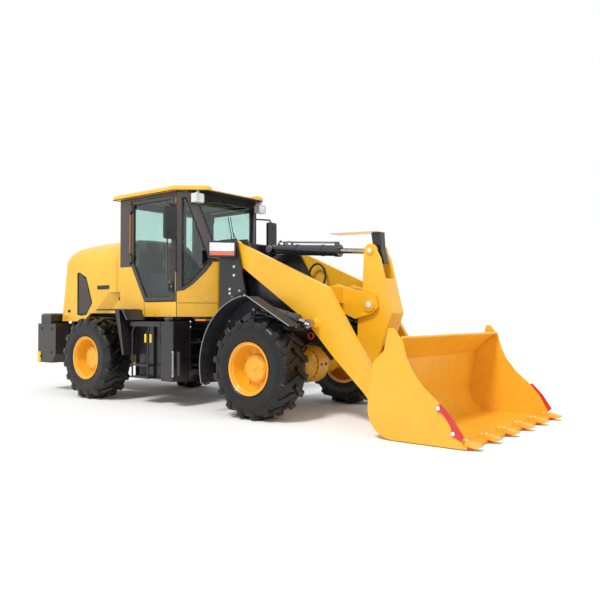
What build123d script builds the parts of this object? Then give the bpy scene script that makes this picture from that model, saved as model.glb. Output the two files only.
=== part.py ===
from build123d import *
from math import asin, cos, degrees, hypot, pi, radians, sin, sqrt
import os

# Articulated wheel loader with a Z-bar loader linkage. Millimetres, +X forward,
# +Y to the machine's left, +Z up, ground at Z = 0. While it is drawn, X = 0 is the
# front axle; place() moves the whole machine so that its middle stands on the origin.

# ---- driving dimensions -----------------------------------------------------------
CLEAR = 0.3                 # fit gap between pieces that turn or slide on each other
GAP = 5.0                   # gap beside a moving piece

# wheels and axles
WHEELBASE = 2926.0
REAR_X = -WHEELBASE         # rear axle
TYRE_R = 538.0              # over the lug tips
TYRE_W = 390.0              # section width
TREAD_W = 350.0
LUG_H = 30.0
LUG_COUNT = 17              # on each side of the tread
LUG_T = 60.0                # thickness of a lug
LUG_PAST = 16.0             # how far a lug runs past the middle of the tread
LUG_SLANT = 0.5             # run round the tyre for each unit across it
LUG_OUT = TYRE_W / 2 - 4    # outer end of a lug, across
LUG_REACH = (LUG_OUT + LUG_PAST) / 2 * LUG_SLANT + LUG_T / 2    # of its far corners round the tyre
WHEEL_Y = 855.0             # tyre centre from the middle plane
RIM_R = 254.0               # bead seat
FLANGE_R = 282.0
RIM_W = 372.0               # over the flanges
RIM_T = 10.0
HUB_R = 150.0               # flat cap of the planetary hub
HUB_IN = 110.0              # hub cap behind the outer flange
SPINDLE_R = 75.0
AXLE_TUBE_R = 95.0
BANJO_R = 215.0
AXLE_PAD_H = 130.0          # spring pads over the axle's middle
SHAFT_R = 30.0

# articulation
PIVOT_X = -WHEELBASE / 2
PIVOT_R = 45.0
EAR_TOP_Z = 960.0           # middle height of the upper articulation ear
EAR_LOW_Z = 420.0
EAR_T = 36.0
STEER_Z = 780.0
STEER_REAR = (-600.0, 420.0)    # from the pivot: rear eye
STEER_FRONT = (420.0, 400.0)    # from the pivot: front eye
STEER_BARREL_R = 36.0
STEER_ROD_R = 20.0

# rear frame
RAIL_HALF = 380.0           # outer face of the side rails
RAIL_T = 30.0
FRAME_TOP_Z = 930.0
FRAME_LOW_Z = 560.0
NOSE_WALL_X = PIVOT_X - 687.0   # wall that carries the articulation's ears

# front frame
FRAME_REAR_X = PIVOT_X + 563.0
DECK_Z = 985.0
DECK_T = 20.0

# loader linkage, X and Z of each pin
BOOM_PIN = (-700.0, 1840.0)
LIFT_PIN = (520.0, 1010.0)
LIFT_BASE = (-550.0, 1290.0)
ROCKER_PIN = (934.0, 1208.0)
ROCKER_TOP = (920.0, 1789.0)
ROCKER_LOW = (900.0, 430.0)
BUCKET_PIN = (1300.0, 260.0)
BUCKET_LINK_R = 240.0       # upper bucket pin from the lower one
BUCKET_LINK_A = 80.0        # and its angle above the ground
TILT_BASE = (-550.0, 1900.0)

BOOM_OUT = 550.0            # outer face of an arm
BOOM_T = 60.0
BOOM_END_R = 140.0
BRACKET_IN = 130.0          # inner face of the rocker's bracket plates
ROCKER_HALF = 122.0         # outer face of the rocker's side plates
ROCKER_T = 34.0
LIFT_BARREL_L = 960.0
TILT_BARREL_L = 1000.0
LIFT_Y = 665.0
LIFT_BARREL_R = 52.0
LIFT_ROD_R = 30.0
TILT_BARREL_R = 62.0
TILT_ROD_R = 30.0
ROD_EYE_R = 54.0
PIN_R = 32.0

# tower plates on the front frame
TOWER_OUT_T = 30.0
TOWER_IN = 440.0            # inner face of the inner plates
TOWER_IN_T = 30.0
TOWER_TOP_Z = 1985.0
TOWER_REAR_X = -870.0

# front fenders and headlamps
FENDER_R = 775.0            # about the axle
FENDER_T = 10.0
FENDER_IN = 740.0
FENDER_OUT = 1000.0
LAMP_Z0 = 1768.0
LAMP_Z1 = 1952.0
LAMP_A = (-812.0, 845.0)    # rear outer corner of the lens, plan x, y
LAMP_B = (-600.0, 604.0)    # front inner corner

# bucket
BUCKET_HALF = 1070.0
BUCKET_SIDE_T = 20.0
BUCKET_WALL = 16.0
TOOTH_TIP_X = 2542.0
TOOTH_COUNT = 6
TOOTH_SPAN = 2 * BUCKET_HALF - 130.0
TOOTH_W = 84.0

# cab
CAB_REAR_X = REAR_X + 306.0
CAB_POST_X = CAB_REAR_X + 1120.0    # front of the door
CAB_NOSE_X = CAB_POST_X + 330.0
CAB_HALF = 720.0
NOSE_HALF = 330.0
CAB_FLOOR_Z = 1080.0
SILL_Z = 1270.0
WAIST_Z = 1760.0
ROOF_TOP_Z = 2690.0
ROOF_Z = ROOF_TOP_Z - 60.0     # underside of the roof
RAIL_Z = ROOF_Z - 85.0          # upper edge of the windows
CAB_WALL = 45.0
WIND_LEAN = 174.0 / 720.0   # windshield runs back this much for each unit of height
DOOR_REAR_X = CAB_REAR_X + 225.0
DOOR_KICK_X = DOOR_REAR_X + 277.0   # where the door's slanted rear edge meets the sill
DOOR_T = 34.0
HINGE_Z = (WAIST_Z + 30.0, ROOF_Z - 180.0)
GLASS_T = 6.0
GLASS_IN = 16.0
SEAT_X = CAB_REAR_X + 500.0
WHEEL_HUB = (CAB_POST_X - 100.0, 1730.0)    # steering wheel, x and z

# hood and rear
HOOD_FRONT_X = CAB_REAR_X - 20.0
HOOD_REAR_X = REAR_X - 1184.0
HOOD_HALF = 650.0
HOOD_TOP_Z = 2140.0
HOOD_FLAT_Z = 1770.0        # its sides are upright up to here
HOOD_LOW_Z = 1010.0
HOOD_SIDE_Z = 1125.0        # lower edge over the rear wheel
HOOD_T = 30.0
HOOD_STEP = 65.0            # its side is set in this far by the rear wheel
STEP_W = 165.0              # width of the slanted face between
STEP_TOP_Z = 1411.0
ENGINE_FRONT_X = REAR_X + 26.0
ENGINE_REAR_X = REAR_X - 924.0
ENGINE_HALF = 280.0
ENGINE_TOP_Z = 1700.0
CW_REAR_X = REAR_X - 1554.0     # counterweight
CW_FRONT_X = REAR_X - 1024.0
CW_HALF = 850.0
CW_TOP_Z = 975.0
CW_LOW_Z = 410.0
HITCH_R = 25.0

# side tanks and ladders
TANK_REAR_X = REAR_X + 796.0
TANK_FRONT_X = PIVOT_X + 153.0
TANK_MID_X = TANK_FRONT_X - 222.0
LADDER_X = TANK_REAR_X + 355.0      # front of the steps
TANK_IN = 650.0
TANK_OUT = 930.0
TANK_TOP_Z = 1020.0
TANK_LOW_Z = 310.0
TANK_STEP = 120.0           # the rear part of the tank is set in this far

# rear mudguards
GUARD_TOP_Z = 2 * TYRE_R + 99.0
GUARD_T = 15.0
GUARD_OUT = 1010.0

# whole machine stands on the origin with its middle
MIDDLE_X = (TOOTH_TIP_X + CW_REAR_X) / 2

# ---- outlines, x and z of each corner ---------------------------------------------
GRILLE = [                      # opening in the hood's side
    (REAR_X - 800, 1702), (REAR_X - 795, 1103), (REAR_X - 690, 1090), (REAR_X - 569, 1103),
    (REAR_X - 426, 1274), (REAR_X - 573, 1635), (REAR_X - 745, 1716),
]
HOOD_CROWN = [                  # falling edge of the crown, front to rear
    (REAR_X - 155, HOOD_TOP_Z - 12), (REAR_X - 538, HOOD_TOP_Z - 42), (REAR_X - 834, HOOD_TOP_Z - 78),
]
HOOD_TAIL = (REAR_X - 1064, 1750)
HOOD_CREASE = [(REAR_X - 426, 1101), (REAR_X - 37, 1412)]   # upper edge of the slanted face
COWL_TOP = [                    # swept upper edge of the cowl, from the post forward
    (CAB_POST_X, 1395), (CAB_POST_X + 60, 1410), (CAB_POST_X + 127, 1481), (CAB_POST_X + 230, 1640),
    (CAB_NOSE_X - 45, WAIST_Z), (CAB_NOSE_X + 60, WAIST_Z),
]
DOOR = [                        # door opening
    (DOOR_REAR_X, ROOF_Z - 40), (DOOR_REAR_X, WAIST_Z - 10), (DOOR_KICK_X, SILL_Z), (CAB_POST_X - 40, SILL_Z),
    (CAB_POST_X - 40, ROOF_Z - 40),
]
ROOF_PLAN = [                   # x, y
    (CAB_REAR_X - 85, CAB_HALF + 60), (CAB_POST_X + 10, CAB_HALF + 60), (CAB_NOSE_X - 10, NOSE_HALF + 180),
]
FRONT_PLATE = [                 # side plate of the front frame
    (FRAME_REAR_X, DECK_Z), (250, DECK_Z), (420, 945), (560, 845), (690, 650), (655, 625),
    (520, 755), (400, 800), (300, 770), (220, TYRE_R + AXLE_PAD_H), (-120, TYRE_R + AXLE_PAD_H),
    (-180, 560), (-300, 480), (FRAME_REAR_X, 480),
]
ARM = [                         # loader arm
    (BOOM_PIN[0], BOOM_PIN[1] + BOOM_END_R), (667, 1393), (985, 900), (1383, 315), (1300, 162),
    (1212, 212), (1110, 329), (755, 655), (375, 1047), (-616, 1697), (BOOM_PIN[0], BOOM_PIN[1] - BOOM_END_R),
]
BRACKET = [                     # bracket plates that hold the rocker
    (360, 1400), (520, 1440), (680, 1390), (1000, 1310), (1035, 1180), (960, 1115), (750, 1060), (420, 1200),
]
CROSS = [(330, 1230), (330, 1400), (600, 1400), (600, 1230)]
ROCKER = [                      # side plate of the rocker
    (846, 1789), (826, 1505), (826, 1360), (765, 1080), (755, 830), (790, 600), (826, 430), (974, 430),
    (1000, 620), (1090, 860), (1185, 1120), (1105, 1440), (1040, 1700), (994, 1789),
]
REAR_GUARD = [                  # top of the rear mudguard and its bent front edge
    (REAR_X + 206, GUARD_TOP_Z - GUARD_T), (REAR_X + 226, GUARD_TOP_Z), (REAR_X + 746, GUARD_TOP_Z),
    (REAR_X + 846, GUARD_TOP_Z - 135), (REAR_X + 830, GUARD_TOP_Z - 141), (REAR_X + 736, GUARD_TOP_Z - GUARD_T),
]
GUARD_FLAP = [
    (REAR_X + 596, GUARD_TOP_Z - GUARD_T + 2), (REAR_X + 676, GUARD_TOP_Z - GUARD_T + 2), (REAR_X + 776, 600),
    (REAR_X + 751, 600),
]
GUARD_WEB = [
    (REAR_X + 326, GUARD_TOP_Z - 10), (REAR_X + 776, GUARD_TOP_Z - 10), (REAR_X + 776, GUARD_TOP_Z - 135),
    (REAR_X + 676, 860), (REAR_X + 526, 860),
]
BUCKET_BACK = [                 # outside of the bucket's back, upwards from the floor's rear
    (1740, 8), (1567, 88), (1497, 300), (1555, 680), (1669, 790), (1838, 905),
]
BUCKET_EAR = [(1235, 205), (1300, 165), (1600, 60), (1600, 760), (1420, 560), (1240, 330)]
TOOTH = [
    (2345, 34), (2345, 62), (2390, 74), (2450, 70), (TOOTH_TIP_X, 46), (TOOTH_TIP_X, 34),
    (2470, 9), (2440, 9), (2440, 34),
]
GUARD_POST = [                  # post that stands on the tilt rod's eye
    (975, 1700), (905, 1870), (885, 1990), (1000, 1990), (1012, 1790), (1052, 1650), (1000, 1650),
]
CONSOLE = [
    (CAB_POST_X - 60, CAB_FLOOR_Z + 40), (CAB_POST_X + 170, CAB_FLOOR_Z + 40), (CAB_POST_X + 170, 1620),
    (CAB_POST_X + 100, 1660), (CAB_POST_X - 30, 1600),
]
SIDE_FRONT = [                  # front edge of a bucket side, downwards
    (1762, 985), (1851, 874), (1885, 740), (1938, 628), (2045, 490), (2181, 375), (2300, 240), (2400, 60),
]


# ---- helpers ----------------------------------------------------------------------
def place(shape):
    """Moves a finished piece so that the machine's middle is at the origin."""
    return Pos(-MIDDLE_X, 0, 0) * shape


def block(x0, x1, y0, y1, z0, z1):
    size = (abs(x1 - x0), abs(y1 - y0), abs(z1 - z0))
    return Pos((x0 + x1) / 2, (y0 + y1) / 2, (z0 + z1) / 2) * Box(*size)


def plate_y(points, y0, y1):
    """Extrudes an outline of (x, z) points across the machine from y0 to y1."""
    face = make_face(Polyline(*[(x, y0, z) for x, z in points], close=True))
    return extrude(face, amount=y1 - y0, dir=(0, 1, 0))


def plate_x(points, x0, x1):
    """Extrudes an outline of (y, z) points along the machine from x0 to x1."""
    face = make_face(Polyline(*[(x0, y, z) for y, z in points], close=True))
    return extrude(face, amount=x1 - x0, dir=(1, 0, 0))


def plate_z(points, z0, z1):
    """Extrudes a plan outline of (x, y) points from z0 up to z1."""
    face = make_face(Polyline(*[(x, y, z0) for x, y in points], close=True))
    return extrude(face, amount=z1 - z0, dir=(0, 0, 1))


def disc_y(x, z, y0, y1, r):
    """A round bar or boss across the machine."""
    return Pos(x, (y0 + y1) / 2, z) * Rot(90, 0, 0) * Cylinder(r, abs(y1 - y0))


def disc_z(x, y, z0, z1, r):
    return Pos(x, y, (z0 + z1) / 2) * Cylinder(r, abs(z1 - z0))


def bar(p, q, r):
    """A round bar from point p to point q."""
    start, end = Vector(*p), Vector(*q)
    axis = end - start
    low = (Align.CENTER, Align.CENTER, Align.MIN)
    return Plane(origin=start, z_dir=axis) * Cylinder(r, axis.length, align=low)


def both(shape):
    """The piece and its mirror image on the machine's other side."""
    return shape + mirror(shape, about=Plane.XZ)


def turned(points, y_axis_z, x=0.0):
    """Turns an outline of (y, r) points about a cross axis at height y_axis_z."""
    outline = [(x, y, y_axis_z + r) for y, r in points]
    face = make_face(Polyline(*outline, close=True))
    return revolve(face, Axis((x, 0, y_axis_z), (0, 1, 0)), 360)


def unit(p, q):
    """Direction from p to q, both (x, z), and the distance between them."""
    length = hypot(q[0] - p[0], q[1] - p[1])
    return (q[0] - p[0]) / length, (q[1] - p[1]) / length, length


def bucket_link_pin():
    a = radians(BUCKET_LINK_A)
    return (BUCKET_PIN[0] + BUCKET_LINK_R * cos(a), BUCKET_PIN[1] + BUCKET_LINK_R * sin(a))


# ---- wheels and axles -------------------------------------------------------------
def carcass():
    """Faceted tyre carcass about the origin: one facet for each lug."""
    count = 2 * LUG_COUNT
    half, tread = TYRE_W / 2, TREAD_W / 2
    bead = RIM_W / 2 - RIM_T - 5.5      # leaves the cone of the side just clear of the flange
    seat = (RIM_R + CLEAR) / cos(pi / count)
    base = TYRE_R - LUG_H
    rings = [                       # y, r of each corner of the section
        (-bead, seat), (-half, TYRE_R * 0.74), (-tread, base - 8),
        (tread, base - 8), (half, TYRE_R * 0.74), (bead, seat),
    ]

    def corner(ring, k):
        y, r = ring
        return (r * cos(2 * pi * k / count), y, r * sin(2 * pi * k / count))
    faces = []
    for i, ring in enumerate(rings):
        after = rings[(i + 1) % len(rings)]
        for k in range(count):
            corners = [corner(ring, k), corner(ring, k + 1), corner(after, k + 1), corner(after, k)]
            faces.append(make_face(Polyline(*corners, close=True)).face())
    return Solid(Shell(faces))


def lug():
    """One lug of the left half of the tread, at the top of the tyre."""
    mid = (LUG_OUT - LUG_PAST) / 2
    top = sqrt(TYRE_R ** 2 - LUG_REACH ** 2)
    foot = TYRE_R - 3 * LUG_H
    side = [
        (-LUG_PAST, foot), (-LUG_PAST, top), (TREAD_W / 2 - 15, top), (LUG_OUT, top - 30), (TREAD_W / 2, foot),
    ]
    plan = []
    for y, edge in ((-LUG_PAST, -1), (LUG_OUT, -1), (LUG_OUT, 1), (-LUG_PAST, 1)):
        plan.append(((y - mid) * LUG_SLANT + edge * LUG_T / 2, y))
    return plate_x(side, -LUG_REACH, LUG_REACH) & plate_z(plan, foot - 10, TYRE_R)


def tyre_form():
    """Carcass with the slanted lugs of both halves taking turns, standing on one's far corner."""
    pitch = 360 / LUG_COUNT
    left = lug()
    right = mirror(left, about=Plane.XZ)
    lugs = []
    for i in range(LUG_COUNT):
        lugs.append(Rot(0, i * pitch, 0) * left)
        lugs.append(Rot(0, (i + 0.5) * pitch, 0) * right)
    stand = degrees(asin(LUG_REACH / TYRE_R))
    return Rot(0, stand, 0) * (carcass() + lugs)


def tyre(form, x, side):
    """The tyre at its wheel; side is +1 for the left wheels."""
    return Pos(x, side * WHEEL_Y, TYRE_R) * form


def rim(x, side):
    """Rim barrel with flanges, dished disc, planetary hub and its bearing bore."""
    w, t = RIM_W / 2, RIM_T
    cap = w - HUB_IN
    disc = cap - 45
    outline = [
        (w, FLANGE_R), (w - t, FLANGE_R), (w - t, RIM_R), (-w + t, RIM_R),
        (-w + t, FLANGE_R), (-w, FLANGE_R), (-w, RIM_R - t), (disc - 60, RIM_R - t),
        (disc - 60, SPINDLE_R + 45), (-w + 60, SPINDLE_R + 45),
        (-w + 60, SPINDLE_R + CLEAR), (disc - 30, SPINDLE_R + CLEAR), (disc - 30, 0),
        (cap, 0), (cap, HUB_R - 8), (cap - 8, HUB_R), (disc, HUB_R + 6),
        (disc, 222), (disc + 50, 236), (w - 30, RIM_R - t),
    ]
    wheel = turned(outline, TYRE_R)
    if side < 0:
        wheel = mirror(wheel, about=Plane.XZ)
    return Pos(x, side * WHEEL_Y, 0) * wheel


def axle(x, nose, pad_in, pad_out):
    """Axle housing with banjo, tubes, spindles, pinion nose (+1 forward) and frame pads."""
    end = WHEEL_Y - RIM_W / 2 + 30
    banjo = Pos(x, 0, TYRE_R) * Rot(90, 0, 0) * Cylinder(BANJO_R, 150)
    banjo += bar((x, 0, TYRE_R), (x, 380, TYRE_R), AXLE_TUBE_R + 20)
    banjo += bar((x, 0, TYRE_R), (x, -380, TYRE_R), AXLE_TUBE_R + 20)
    banjo += Pos(x, 0, TYRE_R) * Sphere(BANJO_R)
    banjo += bar((x, -end, TYRE_R), (x, end, TYRE_R), AXLE_TUBE_R)
    spindle = WHEEL_Y + RIM_W / 2 - HUB_IN - 80
    banjo += bar((x, -spindle, TYRE_R), (x, spindle, TYRE_R), SPINDLE_R)
    banjo += bar((x, 0, TYRE_R), (x + nose * 330, 0, TYRE_R), 80)
    pad = block(x - 90, x + 90, pad_in, pad_out, TYRE_R, TYRE_R + AXLE_PAD_H)
    return banjo + both(pad)


# ---- rear frame side --------------------------------------------------------------
def ear_outline(root_x, root_half, tip_x, tip_half):
    return [
        (root_x, -root_half), (tip_x, -tip_half), (tip_x, tip_half), (root_x, root_half),
    ]


def rear_frame():
    """Side rails, cross walls and the double ears of the articulation."""
    rail = block(CW_FRONT_X, NOSE_WALL_X, RAIL_HALF - RAIL_T, RAIL_HALF, FRAME_LOW_Z, FRAME_TOP_Z)
    arch = block(REAR_X - 170, REAR_X + 170, RAIL_HALF - RAIL_T - 1, RAIL_HALF + 1,
                 FRAME_LOW_Z - 1, TYRE_R + AXLE_PAD_H)
    frame = both(rail - arch)
    frame += block(CW_FRONT_X, CW_FRONT_X + 30, -RAIL_HALF, RAIL_HALF, FRAME_LOW_Z, FRAME_TOP_Z)
    frame += block(REAR_X - 200, REAR_X + 200, -RAIL_HALF + RAIL_T, RAIL_HALF - RAIL_T,
                   TYRE_R + BANJO_R + 15, TYRE_R + BANJO_R + 45)
    tip = PIVOT_X + PIVOT_R + 60
    for z in (EAR_TOP_Z, EAR_LOW_Z):
        for side in (-1, 1):
            z0 = z + side * (EAR_T / 2 + CLEAR)
            z1 = z0 + side * EAR_T
            ear = plate_z(ear_outline(NOSE_WALL_X, RAIL_HALF, tip, PIVOT_R + 60), min(z0, z1), max(z0, z1))
            frame += ear
        frame += disc_z(PIVOT_X, 0, z - EAR_T * 1.5 - 8, z + EAR_T * 1.5 + 8, PIVOT_R)
    wall = block(NOSE_WALL_X, NOSE_WALL_X + 30, -RAIL_HALF, RAIL_HALF,
                 EAR_LOW_Z - EAR_T * 1.5, EAR_TOP_Z + EAR_T * 1.5)
    frame += wall - bar((NOSE_WALL_X - 1, 0, TYRE_R), (NOSE_WALL_X + 31, 0, TYRE_R), SHAFT_R + 35)
    x, y = PIVOT_X + STEER_REAR[0], STEER_REAR[1]
    for side in (-1, 1):
        z0 = STEER_Z + side * (30 + 1)
        lug = block(NOSE_WALL_X, x + 40, y - 60, y + 45, min(z0, z0 + side * 22), max(z0, z0 + side * 22))
        frame += both(lug)
    frame += both(disc_z(x, y, STEER_Z - 55, STEER_Z + 55, 18))
    frame += both(block(NOSE_WALL_X, NOSE_WALL_X + 30, RAIL_HALF - 20, y + 45, STEER_Z - 60, STEER_Z + 60))
    cross = block(NOSE_WALL_X - 60, NOSE_WALL_X, RAIL_HALF - 1, TANK_IN, 640, 700)
    cross += block(NOSE_WALL_X - 60, TANK_MID_X, TANK_IN - 40, TANK_IN, 640, 700)
    frame += both(cross)
    x = ENGINE_REAR_X
    frame += both(block(x - 10, x + 50, RAIL_HALF - RAIL_T, HOOD_HALF, FRAME_TOP_Z, HOOD_LOW_Z))
    x, y = HOOD_FRONT_X - 60, HOOD_HALF - HOOD_STEP
    frame += both(block(x, x + 40, RAIL_HALF - RAIL_T, RAIL_HALF, FRAME_TOP_Z, HOOD_SIDE_Z))
    frame += both(block(x, x + 40, RAIL_HALF - RAIL_T, y, HOOD_SIDE_Z - 40, HOOD_SIDE_Z))
    reach = RAIL_HALF + 100
    saddle = block(CAB_REAR_X + 30, CAB_REAR_X + 110, -reach, reach, FRAME_TOP_Z, CAB_FLOOR_Z)
    frame += saddle
    front_saddle = block(PIVOT_X - 297, PIVOT_X - 227, -420, 420, EAR_TOP_Z + EAR_T * 1.5, CAB_FLOOR_Z)
    frame += front_saddle
    return frame


def engine_block():
    """One plain block for the engine, on feet that stand on the rails."""
    body = block(ENGINE_REAR_X, ENGINE_FRONT_X, -ENGINE_HALF, ENGINE_HALF, FRAME_TOP_Z - 60, ENGINE_TOP_Z)
    for x in (ENGINE_REAR_X + 150, ENGINE_FRONT_X - 250):
        body += both(block(x, x + 100, ENGINE_HALF - 1, RAIL_HALF, FRAME_TOP_Z, FRAME_TOP_Z + 40))
    return body


def counterweight():
    side = [
        (CW_REAR_X, CW_TOP_Z), (CW_REAR_X, CW_LOW_Z + 60), (CW_REAR_X + 60, CW_LOW_Z),
        (CW_FRONT_X - 100, CW_LOW_Z), (CW_FRONT_X, FRAME_LOW_Z - 20), (CW_FRONT_X, CW_TOP_Z),
    ]
    body = plate_y(side, -CW_HALF, CW_HALF)
    body = chamfer(body.edges().filter_by(Axis.Z).sort_by(Axis.X)[:2], 60)
    slot = block(CW_REAR_X - 1, CW_REAR_X + 160, -60, 60, 560, 660)
    return body - slot - disc_z(CW_REAR_X + 80, 0, 500, CW_TOP_Z + 1, HITCH_R)


def tail_lamps():
    """Black lamp boxes that stand on the counterweight's rear corners."""
    box = block(CW_REAR_X + 80, CW_REAR_X + 340, CW_HALF - 330, CW_HALF - 40, CW_TOP_Z, CW_TOP_Z + 150)
    box = chamfer(box.edges().group_by(Axis.Z)[-1], 25)
    return both(box)


def hood_form(inset):
    """The hood's outer form set in by a wall; inset also drops the crown."""
    top = HOOD_TOP_Z - inset
    low = HOOD_LOW_Z - inset
    crown = [(x, z - inset) for x, z in HOOD_CROWN]
    tail = (HOOD_TAIL[0] + inset, HOOD_TAIL[1])
    rear_low = (HOOD_REAR_X + inset, low)
    with BuildPart() as form:
        with BuildSketch(Plane.XZ) as side:
            with BuildLine():
                Polyline(rear_low, (HOOD_FRONT_X + inset, low), (HOOD_FRONT_X + inset, top), *crown)
                SagittaArc(crown[-1], tail, -75)
                Line(tail, rear_low)
            make_face()
        extrude(amount=HOOD_HALF + 10, both=True)
        half = HOOD_HALF - inset
        with BuildSketch(Plane.YZ.offset(HOOD_REAR_X - 50)) as section:
            with BuildLine():
                under = HOOD_LOW_Z - 50
                Polyline((-half, HOOD_FLAT_Z), (-half, under), (half, under), (half, HOOD_FLAT_Z))
                ThreePointArc((half, HOOD_FLAT_Z), (half - 85, top - 115), (half - 270, top - 12))
                ThreePointArc((half - 270, top - 12), (0, top), (-half + 270, top - 12))
                ThreePointArc((-half + 270, top - 12), (-half + 85, top - 115), (-half, HOOD_FLAT_Z))
            make_face()
        extrude(amount=HOOD_FRONT_X - HOOD_REAR_X + 200, mode=Mode.INTERSECT)
    return form.part - both(hood_step(inset))


def hood_step(inset):
    """What the slanted face by the rear wheel takes off the hood's left side."""
    (x0, z0), (x1, z1) = HOOD_CREASE
    length = hypot(x1 - x0, z1 - z0)
    ux, uz = (x1 - x0) / length, (z1 - z0) / length
    y = HOOD_HALF - inset
    profile = [
        (-inset / 2, y), (STEP_W - inset / 2, y - HOOD_STEP), (900, y - HOOD_STEP),
        (900, y + 80), (-inset / 2, y + 80),
    ]
    start = (x0 - ux * 300, z0 - uz * 300)
    points = [(start[0] + uz * s, y, start[1] - ux * s) for s, y in profile]
    face = make_face(Polyline(*points, close=True))
    tool = extrude(face, amount=length + 900, dir=(ux, 0, uz))
    reach = block(x0 - 900, HOOD_FRONT_X + 500, 0, HOOD_HALF + 100, HOOD_LOW_Z - 400, STEP_TOP_Z + inset)
    return tool & reach


def hood():
    """Engine hood, open below, with a grille opening in each side and the rear."""
    front, under = HOOD_FRONT_X + 1, HOOD_LOW_Z - 90
    low_edge = [(front, under), (front, HOOD_SIDE_Z), (REAR_X - 474, HOOD_SIDE_Z), (REAR_X - 634, HOOD_LOW_Z),
                (REAR_X - 634, under)]
    low_cut = plate_y(low_edge, -HOOD_HALF - 1, HOOD_HALF + 1)
    shell = hood_form(0) - hood_form(HOOD_T) - low_cut
    grille = plate_y(GRILLE, -HOOD_HALF - 20, HOOD_HALF + 20)
    middle = block(HOOD_REAR_X, HOOD_FRONT_X, -HOOD_HALF + 60, HOOD_HALF - 60, HOOD_LOW_Z, HOOD_TOP_Z)
    return shell - (grille - middle) - hood_rear_opening()


def hood_rear_opening():
    return block(HOOD_REAR_X - 50, HOOD_REAR_X + 300, -400, 400, 1150, 1620)


def hood_grilles():
    """Mesh panels set into the hood's side and rear openings."""
    side = plate_y(GRILLE, HOOD_HALF - 22, HOOD_HALF - 8)
    return both(side) + ((hood_form(8) - hood_form(22)) & hood_rear_opening())


def rear_mudguards():
    """Flat-topped guard in front of each rear wheel, with its slanted front flap."""
    y = CAB_HALF + GAP
    guard = plate_y(REAR_GUARD, y, GUARD_OUT)
    guard += plate_y(GUARD_FLAP, y, GUARD_OUT)
    guard += plate_y(GUARD_WEB, y, y + GUARD_T)
    guard += block(REAR_X + 546, REAR_X + 646, RAIL_HALF, y + 1, 870, 900)
    return both(guard)


def side_tanks():
    """Tank on each side between the wheels, stepped in behind the ladder."""
    body = block(TANK_MID_X, TANK_FRONT_X, TANK_IN, TANK_OUT, TANK_LOW_Z, TANK_TOP_Z)
    body += block(TANK_REAR_X, TANK_MID_X, TANK_IN, TANK_OUT - TANK_STEP, TANK_LOW_Z, TANK_TOP_Z)
    upright = body.edges().filter_by(Axis.Z)
    outer = upright.filter_by(lambda e: abs(e.center().X - TANK_MID_X) > 1 or e.center().Y > TANK_OUT - 1)
    body = fillet(outer, 12)
    neck = disc_z(TANK_MID_X + 60, TANK_OUT - 70, TANK_TOP_Z, TANK_TOP_Z + 28, 45)
    return both(body + neck)


def ladders():
    """Step frame in front of each tank's stepped part: side plates, treads, hand rails."""
    y0, y1 = TANK_OUT - TANK_STEP + CLEAR, TANK_OUT
    top = TANK_TOP_Z - 5
    step = block(TANK_REAR_X, LADDER_X, y0, y1, TANK_LOW_Z + 10, TANK_LOW_Z + 30)
    step += block(TANK_REAR_X, LADDER_X, y0, y1, TANK_LOW_Z + 160, TANK_LOW_Z + 178)
    step += block(TANK_REAR_X, TANK_MID_X - GAP, y0, y1, top - 20, top)
    step += block(TANK_REAR_X, TANK_MID_X - GAP, y1 - 20, y1, top - 55, top)
    for x in (TANK_REAR_X, LADDER_X - 12):
        step += block(x, x + 12, y0, y0 + 30, TANK_LOW_Z + 10, top)
    for x in (TANK_REAR_X + 40, LADDER_X - 15):
        step += bar((x, y1 - 13, TANK_LOW_Z + 25), (x, y1 - 13, top - 125), 12)
        step += bar((x, y1 - 13, top - 125), (x + 45, y1 - 13, top - 40), 12)
    return both(step)


# ---- cab --------------------------------------------------------------------------
def cab_outline(inset):
    """Plan outline of the cab at the waist, set in by a wall."""
    dx, dy = CAB_NOSE_X - CAB_POST_X, CAB_HALF - NOSE_HALF
    length = hypot(dx, dy)
    nx, ny = dy / length, dx / length           # outward normal of the slanted facet
    edge = nx * CAB_POST_X + ny * CAB_HALF - inset
    side_y = CAB_HALF - inset
    nose_x = CAB_NOSE_X - inset
    post = ((edge - ny * side_y) / nx, side_y)
    nose = (nose_x, (edge - nx * nose_x) / ny)
    rear = (CAB_REAR_X + inset, side_y)
    left = [rear, post, nose]
    return left + [(x, -y) for x, y in reversed(left)]


def cab_form(inset, z0, z1):
    """Closed form of the cab between two heights, its windshield leaning back."""
    form = plate_z(cab_outline(inset), z0, z1)
    slope = sqrt(1 + WIND_LEAN ** 2)
    x = CAB_NOSE_X - inset * slope
    if z1 <= WAIST_Z:
        return form
    reach = 1000.0
    ahead = [(x, WAIST_Z), (x - WIND_LEAN * reach, WAIST_Z + reach), (x + 600, WAIST_Z + reach),
             (x + 600, WAIST_Z)]
    return form - plate_y(ahead, -CAB_HALF, CAB_HALF)


def yellow_zone():
    """The part of the cab wall that is painted body panel rather than pillar."""
    front = COWL_TOP + [(CAB_NOSE_X + 60, CAB_FLOOR_Z), (CAB_POST_X, CAB_FLOOR_Z)]
    zone = plate_y(front, -CAB_HALF - 1, CAB_HALF + 1)
    zone += block(DOOR_REAR_X + 10, CAB_POST_X + 1, -CAB_HALF - 1, CAB_HALF + 1, CAB_FLOOR_Z, SILL_Z - 8)
    rear = [(CAB_REAR_X - 1, CAB_FLOOR_Z), (DOOR_REAR_X + 300, CAB_FLOOR_Z), (DOOR_REAR_X + 300, WAIST_Z - 30),
            (CAB_REAR_X - 1, WAIST_Z - 30)]
    zone += plate_y(rear, -CAB_HALF - 1, CAB_HALF + 1)
    return zone


def door_face(shrink):
    face = make_face(Polyline(*[(x, 0, z) for x, z in DOOR], close=True))
    return offset(face, amount=-shrink, kind=Kind.INTERSECTION) if shrink else face


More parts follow.
